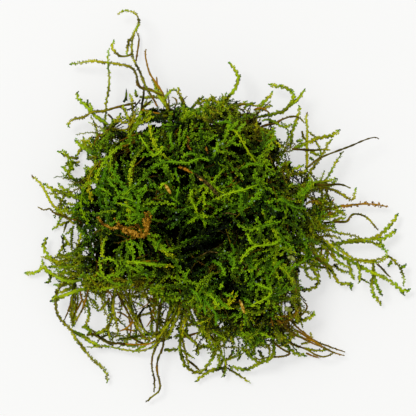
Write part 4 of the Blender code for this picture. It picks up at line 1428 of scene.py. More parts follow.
# Every stray shoot that has a solid, by the side of the clump that it stands out from. Each line has
# the rest of its solid's name, its kind, and its route from root to tip. A line with a + is its fork.
STRAYS = {
    "north": """
crook_stem twig 154,100 150,94 146,87 140,72 135,62 132,53 132,44 133,37 135,31 139,23 \
136,14 129,11 123,11 118,14
+ olive 133,37 129.5,40 127.5,47 127,55
+ tipped 132,54 127,56 120,56 115,52 112,47 114,40
runner tipped 166,98 155,92 141,88 138,82 136,74 132,68 124,65 110,63 101,62 94,61 85,62 79,63 \
70,64
olive_upright twig 104,126 106,112 106,104 108,93 109,84 109,74 108,66 108,58 109,49
orange_thread orange 168,108 162,92 156,83 150.6,75 148,68 146.6,62 145.3,55 146,49
west_feather edge 108,125 103,121 96,117 92,112 86,106 82,102 77,97 78,92
west_olive tipped 136,103 126,105 114,108 104,111 92,112 86,116 81,118 74,119 68,124 69,127
dark_shoot dusky 188,112 184,104 181,98 179,93 178,88
bright_feather edge 218,104 224,100 230,95 234,90 237,84 238,77 236,71.6 233,67 229,63
east_arch edge 258,117 264,116 270,115 276,113 282,112 286,109 290,105 292.5,101 293.6,97 \
292,92 285,87.5 277,86 269,84.5
+ edge 290,105 294,103 298,99 302,93.5 305,89
east_drop stray 290,148 291.5,141 292,131 295,125 297,119 299,112 299,106
east_sprout edge 259,110 264,102 268,98 271,95 272,91.5
east_dark_runner stalk 252,131 261,127 268,124.6 275,123.5 281,120 289,117 296,116.6 \
301,119 304,122.6
""",
    "east": """
yellow_upright yellow 305,174 307,165 307,155 307,145 307.3,132 307,125 306,117 307.6,112.7
bright_feather edge 294,148 302,145 309,142 317,138.5 324.5,137 331,136 336,133 339,130
olive_pair olive 300,188 306,179 312,169 318,161 322,154.5 326,148 328,143 332,140
long_bare_stem bare 306,169 314,162 322,157 335,151.8 344,148.5 353,145 362,141 369,138.5 \
375.6,137.3 379,139
thin_dark_stem stalk 292,149 303,149.6 314,150.3 322,149.5 330,150
diagonal_stem twig 319,192 325,182 329,175 332.5,168.4 336,162 340,156 343,151.5
hooked_stem tipped 314,187 328,188.5 335,190.5 340,193 346,197 352.4,200 354.5,194 356,188
dark_stub stalk 314,184 324,185 336,184.3 343,185 350.4,188
dead_feather dead 318,211 328,208.6 340,206.6 352,205 362,204 371,204 379,205 387,206.6
bare_arch stalk 324,223 336,222 347,221.4 349.8,217 354,214 362,215 368,218.5 373,224 378,230
main_feather edge 312,251 322,248 334,244.5 345,242 356,240 366,239.7 373,238.6 379,235.5 \
385,230.5 391,224 395.6,218.5 397.6,213.9
+ edge 373,238.6 381,239 387,236.5 392,233.5 395.6,230
olive_runner twig 316,226 330,230 338,233 348,234.4 359,237
loop twig 314,233 324,240 334,247 342,252 350,257 357,260.6 367.7,262 377,262.4 \
383.6,259.6 387,256 386.5,251.5 382,247.4 374,243.4
+ twig 387,256 392,258.3 396,263 399.5,267 402,272 404,279.5 403.5,285.5
+ stray 373,262.3 373.5,268 373.7,273 372.3,280 372,287 373.5,294 378,300 381,305
low_feather edge 312,233 322,241.5 332,249.5 340,255.5 349,260 358,265 367,270 377,274.5 \
386,278.5 393,283 399,288 404,291 409.5,289.5
hanging_shoots twig 310,234 318,241 328,251.5 334,258.5 341,264 349,267 352,273 354,279
curl edge 308,248 318,256 331,269 334.5,276 339,282.5 345,283.7 352.4,284.3
""",
    "south_east": """
ring stray 294,282 299,287 305,290 312,288.6 317,285 318.6,280 316,273 310,266
dark_shoot dusky 292,323 299,321 307,319 312,316.5 314.2,312
brown_loop brown 297,317 302.5,314 306,310 307,305.5 303,301
bundle brown 286,316 298,328 304.5,333 310,337.7 317,342 328,346 336,349 345,352
low_stem orange 286,328 294,334.5 305,338.6 313,341 322,346.5 330,351 337,353.6 344.3,355.6
bow brown 278,334 287,341 296,345.6 306,349 315,354.5 323.7,356.8 330,354.8 335,352
feather edge 277,337 286,345 292,351 299,354.6 306,355.6
""",
    "south": """
red_stem brown 274,343 283,349.5 290,353.5 283,356.3 274,357 266,357.6 260,360 254,356
feather_run edge 272,338 274,350 270,359 262,362.3 255,365.5 247,369.5 239,368.6 229,366
dark_drop twig 214,334 218,345 221.5,354 225,361 226,367.5 225,373 222,377
+ twig 225,361 231,358.3 237,356 243,353
+ edge 226,367.5 219,368.8 210,371 202,376 196,381.5
+ twig 226,367.5 233,371.6 241,376.5 250,382.5
loop stray 186,300 181,322 180,346 182,356 185,365 193,371.4 201,372 208,365 213,356 217,345 \
220,332
twin_stem_a stalk 164,288 158,318 156,345 152.5,356 152,368 154.5,380 154,392
twin_stem_b stalk 175,296 166,322 163,346 158,359 157,370 160,384 159,391 153,396 146,402
""",
    "south_west": """
bow twig 182,302 170,322 163,338 154,346 140,351 126,350 116,348 104,346 95,347 87,347
orange_bow dusky 186,292 176,312 164,330 156,341 152,343
+ orange 156,341 148,344 138,344.6 123,343.6
+ stalk 125,344 117,343.4 110,342.6 100,337 92,330
arch olive 86,271 74,277 63,284 57,291 56,300 56,308 59,317 65,324 71,330 76,339 84,349 \
91,358 98,364 104,369 107,376 107,382
+ stray 71,330 80,334.5 89,340.5 98,345
drop dusky 117,274 115,289 112,303 112,316 110,324 104,330 97,333
bundle dusky 78,270 73,293 71.5,305 71,315 73,325
long_stem brown 92,275 86,298 81,312 74,322
olive brown 112,270 117,292 126,309 133,322 141,334 150,341
+ orange 133,322 126,328.5 120,331
""",
    "west": """
dark_tip yellow 74,224 58,210 52,204 48,197 44,189 39,182 32,176
feather_pair edge 84,200 72,196 62,192 54,190 49,187 44,184
brown_hook brown 82,222 66,217 54,213 50,208.6 44,210 38,207
curved_feather edge 84,264 70,265 60,263 52,259.5 47,254 44,248 44.6,242.5 47,238
low_feather edge 82,280 70,281.5 61,279 54,275 48,270.5 44,266.5 40,270 34,273 25,273
south_shoot edge 92,288 80,290 68,294 60,298 51,301
""",
}

# Short shoots at the rim and in the open lattice, too small to be solids: the kind and the route of each
SPRIGS = {
    "north": """
edge 90,152 81,146 75,140
edge 88,152 85,144 83,137
olive 84,150 86,144 92,136
edge 84,141 82,148 76,156
edge 88,108 87,104 88,100
edge 92,112 91,107 90,103
brown 136,61 138,48 139,38 136,31
edge 164,102 166,97 168.5,93.5 171,90 174.5,90 177,91
brown 174.5,107.4 176.8,103 175.8,99 171.8,97
edge 192,108 196.4,102.8 199.7,99.4 203.7,96.8
dusky 213,104 212.3,98.1 211,94.8
edge 237,83 239,79 239.9,74.9
olive 238,106 242.6,103.4 247.2,100.8
stalk 232,108 238,105.4 248.5,104 256,106 261,103.4
stalk 254,110 259.8,108 265,109.4 269.7,113.4
olive 169,112 166.5,106.7 162,96 156.6,86 152,80
olive 170,110 165,101 160,93 155,85
edge 167,108 161,99 157,92 154,84
orange 157.2,84 157,81.5 156.6,77
brown 158,95 153,90 145.5,88 138,86 136,80
brown 157,106 153,98 149,91.5 146.5,86
stalk 141.7,112 142,105 143.6,95 144,85
stalk 142,109 147.4,104 152,100
orange 142.6,109.7 151,112.5 161,113.5 167,113.5
stray 140,96.8 150,97.4 155.3,96.8 162,100
dusky 133.5,117 132.6,108.7 132,101 130.2,94.4
stray 131,123 128.3,118 125.4,111.6 123,105
edge 109,130 112,124 116.8,120 120.6,113.5
edge 105.3,123 98.6,118.3 91,112.5
stalk 108.2,114.4 113.9,120.2 118,124
edge 136.9,97 135,90.5
edge 123.5,102 126,98.2 126.4,89.6
stray 262,121 267.8,119.3 274.4,122 279.7,125.3 285,127.3 289.6,125.3 295,124.6
olive 134,120 146,121 158,119 170,120
dusky 150,115 162,117 176,114 190,112
olive 112,128 122,130 136,128
stray 198,104 206,100 214,101
edge 224,104 228,98 232,93
edge 244,108 250,104 255,103
stray 262,111 267,107 272,106
edge 206,104 210,99 216,97
""",
    "east": """
olive 302,131 303,136 307,141 312,142 315,138 312,134 308,132
edge 296.6,141.2 301.9,140.4
twig 315,140.4 318.8,146.6 321,153.5 321,156.5
edge 310,152 315,153.5 319.5,155.7
edge 309.6,157.3 313.4,160.3
edge 280,165 285,164 291,162
edge 292,170 297,168 303.5,165
dusky 286,176 296,174 306.5,171
edge 306,186 314,182.5 325.6,181 337,178.7
stray 320,189 330,185.8 336.4,180
olive 321.5,190 322.3,196.6 324,202
olive 326,188 328,196.6 330.2,201.6 331,207
dead 306,204 313,201 321,203
dead 318,214 325,216 332,212
orange 331,203 334,199
stray 330,217 336,212 342,213 346,216
stray 332,222 338,219 345,218
edge 326,214 332,216 338,215
twig 330,240 338,246 348,255 357,261
brown 305.7,246.3 312.4,253 319.8,260.4 326.5,267
twig 311.5,246.3 316.5,254.6 321.5,259.6
stray 325.6,246 327.3,257 327.3,265
orange 321.5,249 320.6,258.8
twig 329.8,248 336.4,259.6 343,263.8
dusky 309.9,263 318.2,266.2 326.5,267.9 333,266.2 338,263.8
stray 347,262 350,265 350,270 351,275 354,279
dusky 357,261 359.6,269.6 360,275.4 358.8,282.8
edge 374,272 375,279 377,286 382,295.3
edge 400,268 403.5,267 406,264.3
edge 392,261 389.6,263.6 388.6,266.3
stalk 377,264 381.6,268 386,273 390,277
dusky 334,264 336.5,267 342,271 348,272
dusky 326,266 328.6,272 330.6,277.6
edge 350.5,282 351.3,286 351.3,289.5
twig 358,276 362,279 369.7,283.5
edge 379,238 380,240.4 382,244.4 383.6,247.7
edge 400,289 404,295
stray 304.9,262 305.7,271.2 309,277 313.2,279.5 317.3,277.8
edge 310,263 312.4,267 314.9,273.7 318.2,276.2
olive 296,270 297.6,281.8 298.7,293.3 300,305
brown 290.7,277 295.3,288.7 296.4,296.8
stray 314,256 322,262 330,266
olive 316,240 324,236 333,236 341,239
edge 318,228 326,226 334,227
stray 298,264 304,268 312,268 320,270
twig 322,206 330,210 338,208
stray 300,250 310,256 318,264
stray 345,243 356,242 366,241.5 376,243.5 383,248
olive 352,259 362,260 372,260.5 380,259 386,256
twig 296,246 306,250 316,254 324,262
""",
    "south_east": """
olive 304,348 312,350 320,350.6 326,350
twig 301,343.8 306.8,342.7 311.4,338 310.2,332.4
olive 298,300 299,306 300.5,311 300.5,318 302.5,328
brown 306,353 312,355.6 319,358
orange 296,330 304,335 312,341 324,345
brown 290,330 300,337 312,343 330,350
olive 286,322 293,328 298,334
edge 284,338 292,344 300,347
olive 296,300 292,305 288,312 289,320
orange 300,306 301,314 298,322
yellow 290,316 289,312 290,307
edge 293,288 295,284 294,280
""",
    "south": """
edge 242,344 244,350 250,356 255,360 260,363
edge 224,356 222,362 218.5,367
olive 180,330 183,342 186,355 189,366
stalk 187,360 194,365 201,372
stray 180,328 188,336 197,345 198,355
brown 182,338 190,335 205,331
edge 164,350 172,350 178,349
stray 182,350 187,354 194,358
twig 184,325.6 191.6,324.6 199.3,322.7
olive 181,334 180,346 181,358
dusky 226,362 224,370 224,376
edge 196,352 202,346 212,346
stray 258,350 262,356 264,361
olive 266,344 270,349 269,356
olive 232,350 231,356 225,361
dusky 236,350 240,354 238,360
edge 208,346 213,350 214,358
olive 198,320 206,330 212,340 218,350
dusky 184,300 190,312 196,324 204,336
olive 192,302 188,314 184,326 182,338
stalk 196,300 202,312 206,324 214,336
edge 246,350 252,355 256,353
""",
    "south_west": """
olive 72.5,281.6 73,297.8 73.4,309.3 72.5,320.8 72.5,326.5
olive 76,284 75,300 75.5,312 74,326
brown 77.8,291 77.3,303.6 74.4,315 73,324.6
brown 72,296 70.6,303.6 68.2,311 64.4,320
brown 85.4,300 82.5,309.3 78.7,316 75.8,322.7
orange 82,300 78,308 71,318
stray 86.4,300 88.8,309.3 88.8,317 86.8,322.7 84.4,326.6
stray 91,298.8 96,304.5 97.8,311
stray 109.8,298 103.6,306.5 98.5,311
dusky 116,284 114,298 113,308 116,320 118,334
olive 112,318 109.3,324.6 108.4,331.3 109.8,339
stray 108.9,329.4 103.6,331.3 96,333.3
olive 119,286 124,297 129,308 134,319 139,329 145,336
yellow 118,291 123,302 128,313 132,322
dusky 124,286 127,296 131,307 136,318 141,327 147,333
twig 129.4,290 131.3,303.6 132.3,315 136,322.7
orange 117,312.2 123.7,314.1 128,318
orange 117,318 119.9,321.8 122.2,323.7
orange 123.7,329.4 130.4,330 134.2,331.3
orange 128,316 131,326 130,334 127,342
twig 131.3,300.7 138,303.6 144.3,307.4
yellow 155.3,304.5 147.6,306.5 142.8,309.3
stalk 144,308 139,315 135.2,318.9
stray 129,296 139,296.9 145.7,294 152,293
dusky 160,311 149.5,313.6 141.9,315 136.1,318.4
orange 153.3,317 149.5,322.7 146.7,326.6
stalk 139,316 140.9,322.7 144.3,329.4 147.6,333.3
twig 150,317 158.1,323.7 162.9,326.6
dusky 171.5,302 168.7,315 165.8,325.6 160,331.3 151.4,335.2
dusky 176,302 170,314 165,326 158,338
dusky 182,300 178.2,315 173.4,324.6 170.6,332.3
stray 178,304 174,316 172,328 166,340
olive 187.8,304 184.9,317 183,322.7 179.2,331
stray 173.4,331.3 164.8,333.3 158.1,334.7 149.5,334.2 141.9,335.2 134.2,338 125.6,339 117,340
dusky 168,328 160,335 150,338 138,339
olive 136.1,330 136.6,341.9 137.6,347.6
stray 160,330 164,334 168,339
edge 170,330 166,335 162,341
stray 172,338 166,336 160,333
edge 176,328 181,332 186,337
stray 187,328 182,333 176,338
olive 188,333 181,334 174,337
brown 198.3,332.3 190.7,335.2 183,336 174.4,337
stalk 184,334 193.5,341.9 197.4,345.7 198.8,354.3
stray 81.6,327 87,328 92,333 92,336
edge 84,325 90,330 88,335
stray 74,332.3 81.6,335.2 90.2,341 97.8,345.7 107.4,346.7
stalk 91,333.3 99.8,338 107.4,342.8 113.2,345.7
olive 86.4,335.2 94,334.2 101.7,332.3 107.4,330.4
edge 117,343 124,344 131,346 138,345
yellow 101,268 96,275 89,283
stray 150,300 156,304 164,308
olive 142,292 148,300 156,304
olive 158,296 154,306 152,314
stray 96,292 100,296 106,298
edge 150,340 144,346 136,350
stalk 128,334 134,339 142,343 150,344
olive 160,338 156,344 150,349
""",
    "west": """
edge 78.6,157.7 70.9,157.7 61.8,153.8
edge 76,180 70,175.8 67,170.6 61.8,166.7
twig 71,178.7 66,177.7 62.8,178.7
edge 72,194 68,191 62.3,188.3 58,183.5
edge 64,202 61.3,199.7 56.6,196.9 52.7,191
dusky 68,192 62.3,198.8 59.9,204.5 57.5,209.3
edge 78,205 73.8,204.5 65.2,203.6
stray 70,221 63.3,223.6 57.5,225.6 52.7,229.4
stalk 66.5,222 65.6,226 63.7,232.2
edge 70,245.6 67,241.8 62.8,235
edge 67,241.8 61.3,249.5 58.5,254.2
dusky 72.3,230 71.4,241.8 71.9,251
dusky 82.4,229 79.5,240.9 76.6,247
twig 66,267 57.5,263.8 49.9,260 41.7,256.6
stray 72,253 68,254 63.3,256.2 57.5,254.2
stray 66,278.2 60.4,277.2 52.7,275.3 47,271.5 42.7,266.7 42.7,260
edge 50,274 49.9,281 45.6,282.9
stray 74,284 67,283.9 60.4,285.8 54.6,284.8
edge 76,286 70,288.7 63.3,291.5 56.6,293.5
edge 76,290 69,293.5 61.3,296.3 52.7,297.3
dusky 72,266 67,268.6 64.2,270.5 61.3,274.3
edge 70,268 63.3,267.6 56.6,266.7 48.9,266.7
stray 72,262 66,260 60,262
edge 76,274 68,273 60,272
olive 76,268 71,276 70,288
stray 66,200 62,206 58,214
olive 68,208 63,212 57,214
edge 66,214 61,218 58,224
stray 72,196 66,196 62,193
edge 74,170 69,166 68,161
olive 80,162 74,163 70,167
olive 76,214 70,212 64,209
stray 74,226 70,231 66,234
olive 78,250 72,256 66,258
stray 76,258 70,262 62,264
olive 74,278 66,281 58,281
""",
}

# Bright shoots on top of the mat that it is known by: the kind and the route of each, root first
CROWN = """
green 147.7,170 155.7,166.4 162.9,162.9 171.8,162 180.7,162.9 189.6,162.9 195,160.2 202,158.4 209.3,161
green 204,155.7 195.9,154 189.6,154 182.5,157.5
lime 150.4,151.3 147.7,147.7 143.2,141.4 139.6,135.2
green 170,152 172.7,145.9 170,139.6 171.8,132.5
lime 149.5,151.3 155.7,155.7 160,152 164.6,145.9
green 212.9,159.3 214.6,155.7 216.4,149.5 217.3,142.3
lime 264,184 253.9,186 245,189.6 236,191.4 227,194 218.2,197.7 212.9,200.4
green 214,206 210,203 204,203
lime 195,209.3 193.2,203 190.5,197.7 191.4,191.4 195.9,187
green 176,204 177,196 178.9,187.9
green 170,196.8 174,199 179,203
lime 158.4,189.6 162,186 166.4,182.5
green 175.4,168.2 177,177 179.8,182.5
green 118,195.9 127,198.6 136,202
lime 139.6,216.4 134.3,210.2 127,205.7 116.4,202.8
green 134.3,191.4 142.3,189.6 146.8,186
dark 193.2,173.6 200.4,170 203,164.6
lime 186.9,223.4 193.4,220 199.9,214.7 209.7,216.9
lime 205.3,227.7 203,219 198,214
lime 192.3,198.5 195.6,209.3 198.8,214.7
green 256.3,227.9 264.3,225.6 273.5,223.3 280.4,221
lime 291.8,241.7 285,237 280.4,239.4 273.5,244 265.4,245 255,246.3 248.2,250.8 242.5,257.7 239,263.5
lime 250.5,280.7 259.7,285.3 268.9,288.7 272.3,292 266.6,297.9 257.4,302.5 249.4,306
lime 206.9,292 213.8,299 219.5,308.3
lime 256,333 265.4,335.8 273.5,340.4
lime 219.5,288.7 223,281.8
green 212.6,261 220.7,265.8 225.3,275
green 231,244 234.4,252 230,256 234.4,261 232,270
green 243.6,298 250.5,303.7
green 271.2,208.4 278,210.7
lime 256.3,247.4 250.5,240.5 246,232.5
green 223,293.3 233.3,296.8
lime 168,265 156,264.5 148,264 134,262 124,262
green 134,262 141,270 148,279
green 161,239 157,245 156,251
green 184,282 186,276 189,270
lime 101.5,262 108,259 116,262
green 240,130 226,122 214,124
green 262,150 268,142 276,138
green 240,170 250,164 262,166
green 104,176 112,184 118,192
lime 96,186 104,190 112,196
green 108,226 116,222 126,222
green 128,240 138,246 144,254
green 190,288 198,296 202,306
lime 238,330 246,336 252,344
green 146,222 150,214 158,206
green 280,196 288,204 298,208
green 284,260 276,266 270,276
"""


@dataclass
class Stray:
    """A stray shoot: its solid's node, and the kinds and routes of itself and of its forks."""

    node: str
    shoots: list[tuple[Kind, str]] = field(default_factory=list)


def strays_of(side: str) -> list[Stray]:
    """The strays of a side, from the table that has a line for each shoot."""
    strays = []
    for line in STRAYS[side].strip().splitlines():
        name, word, route = line.split(maxsplit=2)
        if name != "+":
            strays.append(Stray(f"{side}_{name}"))
        strays[-1].shoots.append((Kind[word.upper()], route))
    return strays


def tree_of(node: str) -> BVHTree:
    """A search tree of a solid's faces."""
    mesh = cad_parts[node].data
    mesh.calc_loop_triangles()
    points = [vert.co for vert in mesh.vertices]
    return BVHTree.FromPolygons(points, [face.vertices for face in mesh.loop_triangles])


def seen_height(tree: BVHTree, x: float, y: float) -> float:
    """The height of a solid's middle where the eye sees it, or nan where it doesn't."""
    eye = PLAN.eye()
    ahead = (Vector(PLAN.place(np.array(x), np.array(y), 0.0)) - eye).normalized()
    hit = tree.ray_cast(eye, ahead)[0]
    return hit.z - SOLID_RADIUS if hit else math.nan


def line_on(node: str, route: str) -> Array:
    """The line along a route at the heights of its solid.

    Args:
        node: The solid's node.
        route: The route on the plan.

    Returns:
        The line's points.
    """
    tree = tree_of(node)
    flat = plan_curve(route)
    heights = np.array([seen_height(tree, x, y) for x, y in flat])
    known = ~np.isnan(heights)
    if known.any():
        share = np.arange(len(flat))
        heights = np.interp(share, share[known], heights[known])
    else:
        heights = np.full(len(flat), UNSEEN_HEIGHT)
    return PLAN.line(flat, evened(heights, 7))


@dataclass
class StrayShoots:
    """The shoots and stems that stand clear of the mat, one piece for each side of the clump."""

    form: MossForm
    finishes: Finishes
    seed: int = 101
    root_sink: float = 1.2 * MM  # how far under the mat's form a short shoot starts
    roots: Pair = mm(2, 13)  # the least and the most height that it starts at
    droop: float = 0.62  # the height of its tip, as a share of its root's
    sink: float = 0.6 * MM  # how far under the form it may be along the way
    climb: float = 3 * MM  # how far it follows the form up
    lowest: float = 1.0 * MM
    evenness: int = 9  # over how many points its heights are evened
    wide: float = 1.36  # how large a stray is beside its look
    short_wide: float = 1.22  # and a short shoot
    light: float = 0.09  # how much lighter they are than in the mat: painted light
    shaded: float = -0.02  # and where others lie over them: painted shade
    shaded_sides: tuple[str, ...] = ("south", "south_west")

    def free_line(self, route: str, trees: list[BVHTree]) -> Array:
        """The line of a short shoot, from the mat or from what carries it, down towards its tip.

        Args:
            route: The route on the plan, root first.
            trees: The search trees of the solids that may carry it.

        Returns:
            The line's points.
        """
        flat = plan_curve(route)
        tops = self.form.tops(PLAN.line(flat, RIM_HEIGHT))
        seen = [seen_height(tree, *flat[0]) for tree in trees]
        root = max([tops[0] - self.root_sink] + [height for height in seen if not math.isnan(height)])
        root = min(max(root, self.roots[0]), self.roots[1])
        heights = root * (1 - (1 - self.droop) * np.linspace(0, 1, len(flat)))
        heights = np.maximum(heights, np.minimum(tops - self.sink, root + self.climb))
        return PLAN.line(flat, np.maximum(evened(heights, self.evenness), self.lowest))

    def build(self) -> None:
        """Makes the piece of each side in place of the solids there."""
        for i, side in enumerate(STRAYS):
            chance = np.random.default_rng(self.seed + i)
            foliage = Foliage(
                f"stray_shoots_{side}", FINE_LEAF, chance, stem_sides=6, stem_step=0.7 * MM,
                leaf_painted_shade_length=0.9, knobbly=0.26,
            )
            # Painted light for the strays, and painted shade on the sides where others lie over them
            light = self.shaded if side in self.shaded_sides else self.light
            strays = strays_of(side)
            for stray in strays:
                for kind, route in stray.shoots:
                    foliage.shoot(line_on(stray.node, route), kind.value, chance.normal(0, 0.02),
                                  chance.normal(light, 0.05), self.wide)
            trees = [tree_of(stray.node) for stray in strays]
            for kind, route in shoots_of(SPRIGS[side]):
                foliage.shoot(self.free_line(route, trees), kind.value, chance.normal(0, 0.03),
                              chance.normal(light, 0.08), self.short_wide)
            piece = foliage.piece(self.finishes["moss_leaf"], self.finishes["moss_stem"])
            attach(piece, BODY)
            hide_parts(*[stray.node for stray in strays])


@dataclass
class CrownShoots:
    """The bright shoots that lie on top of the mat."""

    form: MossForm
    finishes: Finishes
    seed: int = 211
    root_lift: float = -0.8 * MM
    tip_lift: float = 2.0 * MM
    rise: float = 3  # how soon they are clear of the mat
    evenness: int = 15  # over how many points their heights are evened
    light: float = 0.18  # how much lighter they are than in the mat
    fade: float = 0.14  # and how much less so at the tip
    wide: float = 1.28  # how large they are beside their look

    def build(self) -> None:
        """Makes the piece."""
        chance = np.random.default_rng(self.seed)
        foliage = Foliage(
            "moss_crown_shoots", FINE_LEAF, chance, stem_sides=5, stem_step=1.0 * MM, coarse=1.3
        )
        for kind, route in shoots_of(CROWN):
            line = PLAN.line(plan_curve(route), TOP_HEIGHT)
            share = np.linspace(0, 1, len(line))
            risen = np.minimum(1, share * self.rise) ** 0.7
            lift = self.root_lift + (self.tip_lift - self.root_lift) * risen
            line[:, 2] = evened(self.form.tops(line), self.evenness) + lift
            light = self.light - self.fade * share
            foliage.shoot(line, kind.value, chance.normal(0, 0.02), light, self.wide)
        piece = foliage.piece(self.finishes["moss_leaf"], self.finishes["moss_stem"])
        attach(piece, BODY)


@dataclass
class DeadCedar:
    """A dry cedar sprig on top of the mat: rough scale leaves in pairs along a stem with short twigs."""

    form: MossForm
    finishes: Finishes
    # Each run of it: how thick it is at its start and end, and its route on the plan
    runs: tuple[tuple[float, float, str], ...] = (
        (0.55, 1.15,
         "98,217 101,222 106,226 112,228 121,228 129,231 138,234 146,235 147,229 148,221 147,213"),
        (0.55, 0.80, "114,218 117,222 121,227"),
        (0.80, 1.10, "117,227 125,228 133,232 142,235"),
        (0.70, 0.90, "122,231 130,234 139,237 145,236"),
        (0.60, 0.80, "135,223 138,226 141,231"),
        (0.70, 0.90, "143.5,218 145,225 146,232"),
        (0.60, 0.90, "151,215 149.5,221 148,229"),
        (0.50, 0.70, "125,230 130,227 135,227"),
    )
    node: str = "dead_cedar_sprig"
    clear: float = 2.6 * MM  # above the mat
    radius: float = 0.33 * MM
    ring: float = 0.54 * MM  # from one pair of scales to the next
    scale: float = 1.05 * MM  # a scale's length
    lengths: Pair = (0.55, 1.35)  # the shortest and the longest beside it
    widths: Pair = (0.45, 0.7)  # beside its length
    sideways: Pair = (0.4, 1.0)  # how far scales stand out to a side
    upwards: Pair = (0.1, 0.6)  # how far they stand up, and how much that differs
    open: Pair = (0.35, 1.1)  # how far they stand off the twig
    ragged: float = 0.16
    grown: float = 2.2  # how soon a run has its last thickness
    ahead: float = 0.8  # how much scales point along the twig
    seat: float = 0.6  # how far from the twig's middle they start, beside its radius
    seed: int = 307

    def line_of(self, tree: BVHTree, route: str) -> Array:
        """The line of a run, on the sprig's solid and clear of the mat."""
        flat = plan_curve(route)
        tops = self.form.tops(PLAN.line(flat, TOP_HEIGHT)) + self.clear
        seen = np.array([seen_height(tree, x, y) for x, y in flat])
        return PLAN.line(flat, evened(np.fmax(tops, seen), 9))

    def build(self) -> None:
        """Makes the sprig in place of its solid."""
        chance = np.random.default_rng(self.seed)
        foliage = Foliage("cedar_sprig", SCALE_LEAF, chance, stem_sides=6)
        tree = tree_of(self.node)
        for first, last, route in self.runs:
            line = self.line_of(tree, route)
            reach = reach_of(line)
            rings = np.linspace(0, reach[-1], max(3, round(reach[-1] / self.ring)))
            places = at_reach(line, reach, rings)
            thick = np.interp(np.minimum(1, rings / reach[-1] * self.grown), (0, 1), (first, last))
            foliage.stem(places, self.radius * thick, np.full((len(rings), 2), 0.5))
            tangents = tangents_of(places)
            side, up = sides_of(tangents)
            for i in range(len(rings)):
                for hand in (-1, 1):
                    out = side[i] * hand * chance.uniform(*self.sideways)
                    out = unit((out + up[i] * chance.normal(*self.upwards))[None])[0]
                    heading = tangents[i] * self.ahead + out * chance.uniform(*self.open)
                    heading = heading + chance.normal(0, self.ragged, 3)
                    length = self.scale * thick[i] * chance.uniform(*self.lengths)
                    size = (length, length * chance.uniform(*self.widths), 0.5, 0.5)
                    root = places[i] + out * self.radius * thick[i] * self.seat
                    foliage.seeds.append(np.concatenate((root, heading, out, size))[None])
        piece = foliage.piece(self.finishes["cedar"], self.finishes["cedar"])
        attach(piece, BODY)
        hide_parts(self.node)


@dataclass(frozen=True)
class Sliver:
    """A dry blade of plant stuff."""

    name: str
    finish: str
    route: str
    half_width: float  # in millimetres, like the next but one
    node: str | None = None  # the solid that it stands for
    clear: float = 0.9  # above the mat
    thickness: float = 0.34  # beside its width
    slot: str = "dry_straw"


SLIVERS = (
    Sliver("orange_blade", "orange_straw", "178,167 185,169 190,171.5 195,175", 0.46, "orange_sliver"),
    Sliver("dead_stalk_a", "old_stalk", "194,173 200,177.4 209,184 218,193.5", 0.26, None, 3.0, 0.8),
    Sliver("dead_stalk_b", "old_stalk", "197,177 202,181 209,187 216,194.5", 0.24, None, 2.8, 0.8),
    Sliver("dead_stalk_c", "old_stalk", "196,175 203,179.4 211,187 219,197", 0.22, None, 3.2, 0.8),
    Sliver("dead_stalk_knob", "tan_straw", "199.4,178.6 201,179.8 202.8,181", 0.34, None, 3.5, 0.8),
    Sliver("pale_leaf_a", "pale_leaf", "285.5,308 288.6,310.6 293.5,312", 0.80, None, 0.2, 0.2, "moss_leaf"),
    Sliver("pale_leaf_b", "pale_leaf", "288,257.5 291.8,257.9 295.5,260.5", 0.70, None, 0.2, 0.2,
           "moss_leaf"),
    Sliver("olive_leaf_a", "olive_leaf", "293.4,278 294,283 295,288", 0.75, None, 0.6, 0.25, "moss_leaf"),
    Sliver("olive_leaf_b", "olive_leaf", "289.5,337.6 294,339 298,341", 0.90, None, 0.6, 0.25, "moss_leaf"),
    Sliver("tan_blade", "tan_straw", "239.5,300 242.5,307 245,314", 0.50, "tan_sliver"),
    Sliver("tan_flake", "tan_straw", "165,184 168,189 171,194", 0.50, None, 2.2),
    Sliver("brown_curl_a", "brown_straw", "187,136 189.5,141 187,145", 0.26, None, 2.0),
    Sliver("brown_curl_b", "brown_straw", "187,144 189,148 192,151", 0.30, None, 2.0),
    Sliver("brown_curl_c", "brown_straw", "206,147 206.5,150 208,154", 0.30, None, 2.0),
    Sliver("tan_stem_a", "old_stalk", "242,263 250,266 268,274", 0.22, None, 0.9, 0.9),
    Sliver("tan_stem_b", "old_stalk", "202,255 210,252 218,253", 0.20, None, 0.9, 0.9),
    Sliver("tan_stem_c", "old_stalk", "222,214 229,213 237,215", 0.20, None, 0.9, 0.9),
)


